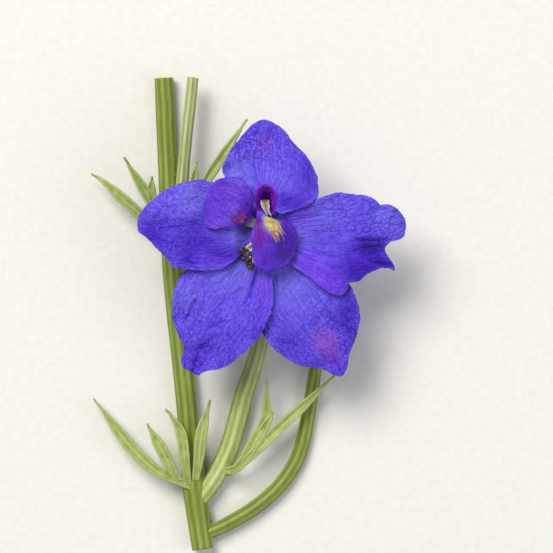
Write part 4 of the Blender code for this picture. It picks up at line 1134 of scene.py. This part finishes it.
def make_pistil():
    """Three carpels that part at the top into their styles."""
    cx, cy = STAMEN_RING[:2]
    bm = bmesh.new()
    for k in range(3):
        angle = math.tau * k / 3 + 0.2
        dx, dy = 0.17 * math.cos(angle), 0.17 * math.sin(angle)
        loft(bm, [(cx + dx, cy + dy, -0.18, 0.20), (cx + dx, cy + dy, 0.5, 0.24),
                  (cx + 2.0 * dx, cy + 2.0 * dy, 1.5, 0.07)], rings=20, sides=12)
    return mesh_piece("carpels", bm, turn_faces_out=True)


finish_piece(make_pistil(), CARPEL_GREEN, "cream", "pistil")

# %% [markdown]
# ## Stems
#
# Delphinium stems are ribbed, finely downy and a yellowish green, paler on the ribs. The cut ends
# show a white pith with a hollow in the middle. Side shoots start inside the main stem, which swells
# where the flower stalk leaves it, so that they look grown and not stuck on.

# %% Stem skin
def stem_skin(name, groove, rib, pith):
    """Ribbed herbaceous stem, slightly glossy, with fine streaks along it."""
    made, tree, place = new_material(name)
    sliced, depth, ribs, _ = tint_of(tree)
    along = add_node(tree, "ShaderNodeMapping", {"Scale": (1.0, 0.12, 1.0), "Vector": place})
    streaks = add_node(tree, "ShaderNodeTexNoise", {"Scale": 2.2 / MM, "Detail": 3.0, "Vector": along})
    patches = add_node(tree, "ShaderNodeTexNoise", {"Scale": 0.16 / MM, "Detail": 2.0, "Vector": place})
    colour = add_node(tree, "ShaderNodeValToRGB", {"Fac": ribs}, [(0.1, groove), (0.9, rib)])
    colour = darkened(tree, colour, 0.7, streaks, [(0.3, "#cfd4b8"), (0.7, "#ffffff")])
    colour = darkened(tree, colour, 0.6, patches, [(0.35, "#e8e0b8"), (0.65, "#ffffff")])
    inside = add_node(tree, "ShaderNodeValToRGB", {"Fac": depth},
                      [(0.10, "#a9b56a"), (0.30, pith), (0.68, "#8c9460")])
    colour = add_node(tree, "ShaderNodeMix", {"Factor": sliced, "A": colour, "B": inside}, data_type="RGBA")
    return finish_material(made, {"Base Color": colour, "Roughness": 0.5}, bump=(streaks, 0.3, 0.08))


GREEN_STEM = stem_skin("ribbed_green_stem", "#70832a", "#93a340", "#e6e8c4")
# The stalk's skin is paler than the other stems: partly its own paler green, partly painted light against
# the shadow that the bloom casts on it.
PALE_STALK_PAINTED_LIGHT = stem_skin("ribbed_pale_stalk_painted_light", "#a0ae62", "#c6d28a", "#e6e8c4")
PALE_GREEN_STEM = stem_skin("ribbed_pale_stem", "#93a05c", "#c0c894", "#eceed6")

# %% Stem routes
# x, y, height of the axis over the surface, radius
MAIN_STEM = [
    (-16.3, 23.4, 1.90, 1.55), (-16.1, 19.2, 1.58, 1.60), (-15.8, 12.0, 1.43, 1.62),
    (-15.5, 5.4, 1.60, 1.64), (-15.2, -1.0, 1.90, 1.66), (-14.9, -7.5, 2.02, 1.68),
    (-14.1, -15.5, 2.02, 1.70), (-13.2, -23.5, 1.92, 1.72), (-12.5, -30.5, 1.85, 1.74),
    (-12.0, -36.5, 1.84, 1.85), (-11.3, -43.0, 1.80, 2.00), (-10.6, -48.5, 1.60, 1.85),
    (-10.0, -52.4, 1.75, 1.80),
]
PALE_STEM = [
    (-15.0, -7.0, 2.2, 1.00), (-14.4, -3.2, 4.6, 1.05), (-13.9, 1.0, 5.6, 1.05),
    (-13.3, 6.0, 5.8, 1.02), (-12.8, 11.8, 5.6, 1.00), (-12.0, 19.2, 5.0, 0.98),
    (-11.6, 23.2, 4.7, 0.95),
]
FLOWER_STALK = [
    (-10.9, -44.6, 1.9, 1.55), (-9.5, -42.9, 1.85, 1.60), (-7.6, -40.0, 1.82, 1.66),
    (-5.7, -36.0, 1.80, 1.70), (-4.4, -31.5, 1.95, 1.68), (-3.4, -27.5, 2.20, 1.60),
    (-1.9, -23.0, 2.75, 1.45), (-0.8, -18.8, 3.60, 1.30), (-0.4, -14.0, 5.10, 1.15),
    (-0.2, -9.5, 7.00, 1.05), (-0.1, -5.4, 8.90, 1.00), (0.0, -3.0, 10.40, 1.05),
    (0.0, -2.1, 11.35, 1.45), (0.0, -2.0, 12.10, 1.95), (0.0, -2.0, 13.20, 2.10),
    (0.0, -2.0, 13.90, 1.85),
]
RIGHT_STEM = [
    (-9.8, -50.0, 1.6, 1.15), (-6.5, -48.6, 1.4, 1.20), (-2.0, -46.0, 1.2, 1.25), (2.0, -42.6, 1.12, 1.25),
    (4.8, -38.6, 1.08, 1.25), (6.1, -34.9, 1.10, 1.22), (7.0, -30.1, 1.35, 1.18), (8.0, -23.6, 2.2, 1.05),
    (8.4, -19.0, 3.6, 0.90), (8.0, -15.5, 5.0, 0.70),
]
ON_SURFACE = Vector((BLOOM.x, BLOOM.y, 0.0))


def rib_rule(ribs, seed):
    """Rule for a ribbed stem: the radius and the rib mark at an angle and place along it."""
    def rule(radius, angle, point):
        wave = math.cos(ribs * angle + 0.6 * noise.noise(Vector((point.y * 0.15, seed, 0.0))))
        uneven = noise.noise(Vector((math.cos(angle) * 1.5, math.sin(angle) * 1.5, point.y * 0.25 + seed)))
        return radius * (0.965 + 0.025 * wave + 0.02 * uneven), 0.5 + 0.5 * wave
    return rule

# %% Make the stems
# route, ribs, skin, rings, whether its start and its end are sliced
STEMS = {
    "stem_main": (MAIN_STEM, 9, GREEN_STEM, 260, True, True),
    "stalk_of_bloom": (FLOWER_STALK, 8, PALE_STALK_PAINTED_LIGHT, 220, False, False),
    "stem_pale": (PALE_STEM, 7, PALE_GREEN_STEM, 130, False, True),
    "stem_right": (RIGHT_STEM, 7, GREEN_STEM, 150, False, True),
}
STEM_SIDES = 54
for order, (name, (route, ribs, skin, rings, cut_start, cut_end)) in enumerate(STEMS.items()):
    stem_bm = bmesh.new()
    loft(stem_bm, route, rings, STEM_SIDES, rib_rule(ribs, order), cut_start, cut_end)
    stem = mesh_piece(name + "_ribbed", stem_bm, ON_SURFACE, turn_faces_out=True)
    finish_piece(stem, skin, "stem", name)
    add_down(stem, name, "stem", name, STEM_DOWN, STEM_HAIRS, 20 + order)
add_down(spur, "spur", "sepal", "sepal_top", SPUR_DOWN, SPUR_HAIRS, 31)

# %% [markdown]
# ## Leaves
#
# The leaves are cut into narrow lobes a millimetre and a half wide, channelled along a paler midrib.
# Each lobe is a ribbon along its own path, drawn out to a point, and all lobes of a leaf meet at its
# root on the stem.

# %% Leaf material
# Matt mid-green lobe with a paler midrib and rim, and a drier tip
LEAF_BLADE = mottled("narrow_leaf_blade", 0.9, 4.0, [(0.3, "#7f9340"), (0.7, "#a0ae5c")],
                     {"Roughness": 0.55}, over=["#bcc588", "#a9b068"], bump=(0.35, 0.08))

# %% Lobes
LEAVES = {
    "leaf_upper_left": [
        (0.80, [(-14.9, -3.4, 3.0), (-17.2, 1.4, 4.5), (-18.6, 4.1, 5.0), (-20.5, 7.1, 5.6),
                (-22.6, 10.5, 6.0)]),
        (0.60, [(-17.6, 2.2, 4.5), (-18.2, 5.0, 5.2), (-18.1, 7.4, 5.8)]),
        (0.80, [(-15.4, -2.6, 3.4), (-18.0, -0.6, 4.2), (-20.5, 1.8, 4.5), (-23.2, 4.2, 4.4),
                (-26.0, 6.7, 3.8), (-27.9, 7.9, 3.2)]),
    ],
    "leaf_upper_right": [
        (0.75, [(-13.6, 0.6, 6.0), (-11.6, 3.2, 6.6), (-9.2, 7.0, 6.9), (-6.0, 11.8, 6.5),
                (-2.9, 16.6, 5.6)]),
        (0.60, [(-11.9, 2.7, 6.5), (-11.4, 6.4, 7.2), (-10.9, 9.8, 7.6)]),
    ],
    "leaf_lower_left": [
        (0.90, [(-11.8, -42.2, 3.4), (-14.5, -41.0, 4.0), (-17.8, -39.4, 4.2), (-21.1, -36.3, 4.0),
                (-23.6, -33.3, 3.6), (-26.0, -30.2, 3.0), (-27.6, -28.2, 2.6)]),
        (0.85, [(-14.0, -41.4, 3.9), (-15.2, -39.0, 4.6), (-16.6, -36.2, 5.0), (-18.9, -32.1, 5.0)]),
        (0.80, [(-12.4, -42.0, 3.6), (-12.9, -38.0, 4.8), (-13.6, -33.2, 5.0), (-15.9, -29.8, 4.8)]),
    ],
    "leaf_lower_right": [
        (0.85, [(-11.2, -41.2, 3.6), (-10.6, -37.4, 4.8), (-10.2, -33.6, 5.1), (-8.8, -28.3, 5.0)]),
    ],
    "leaf_on_stalk": [
        (0.90, [(-6.6, -39.8, 2.8), (-4.4, -39.1, 4.2), (-2.3, -36.0, 4.7), (0.0, -31.7, 5.0),
                (0.2, -28.6, 5.0), (0.4, -25.2, 4.8)]),
        (0.55, [(-1.3, -34.3, 4.6), (0.3, -31.9, 5.15), (1.3, -30.2, 5.3)]),
        (0.80, [(-6.2, -40.3, 2.6), (-3.7, -38.5, 4.25), (-1.1, -36.1, 4.8), (2.2, -32.8, 4.7),
                (5.6, -29.7, 4.5), (8.6, -26.8, 4.0), (11.4, -24.2, 3.4)]),
    ],
}
LOBE_ROWS = 90
LOBE_COLUMNS = 14
LEAF_WALL = 0.34


def add_lobe(bm, tint, half_width, route, seed):
    """One ribbon of a leaf, channelled along its midrib and drawn to a point."""
    path = smooth_path(route, LOBE_ROWS + 1)
    grid = bmesh.ops.create_grid(bm, x_segments=LOBE_COLUMNS, y_segments=LOBE_ROWS, size=1.0)
    for vert in grid["verts"]:
        v, u = vert.co.x, (vert.co.y + 1) / 2
        row = round(u * LOBE_ROWS)
        ahead = path[min(row + 1, LOBE_ROWS)] - path[max(row - 1, 0)]
        side = Vector((ahead.y, -ahead.x, 0.0)).normalized()
        width = half_width * (0.62 + 0.38 * ease(u / 0.4)) * (1 - 0.9 * ease((u - 0.55) / 0.45) ** 1.3)
        width *= 1 + 0.06 * noise.noise(Vector((u * 9.0, seed, v)))
        rib = math.exp(-(v / 0.16) ** 2)
        lift = 0.30 * v * v * width / half_width - 0.10 * rib
        lift += 0.05 * noise.noise(Vector((u * 14.0, v * 2.0, seed + 2.0)))
        vert.co = path[row] + side * width * v + Vector((0, 0, lift))
        vert[tint] = (max(rib, 0.6 * ease((abs(v) - 0.8) / 0.2)), ease((u - 0.9) / 0.1), 0.5, 0.0)

# %% Make the leaves
for order, (name, lobes) in enumerate(LEAVES.items()):
    leaf_bm = bmesh.new()
    leaf_tint = leaf_bm.verts.layers.float_color.new("tint")
    for i, (half_width, route) in enumerate(lobes):
        add_lobe(leaf_bm, leaf_tint, half_width, route, 10 * order + i)
    leaf = give_wall(mesh_piece(name + "_lobes", leaf_bm, ON_SURFACE), LEAF_WALL)
    finish_piece(leaf, LEAF_BLADE, "leaf", name)
    add_down(leaf, name, "leaf", name, STEM_DOWN, LEAF_HAIRS, 40 + order)

# %% [markdown]
# ## Size of the finish
#
# The growth of the dressed part past the box of the solids is printed, corner by corner. The
# dressed part may reach about 3% past the box of the solids and no more.

# %% Sizes
dressed_box = [list(corner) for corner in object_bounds()]
for name, solid, piece in zip(("low corner", "high corner"), cad_box, dressed_box):
    print(name, "growth in mm:", [round((b - a) / MM, 2) for a, b in zip(solid, piece)])
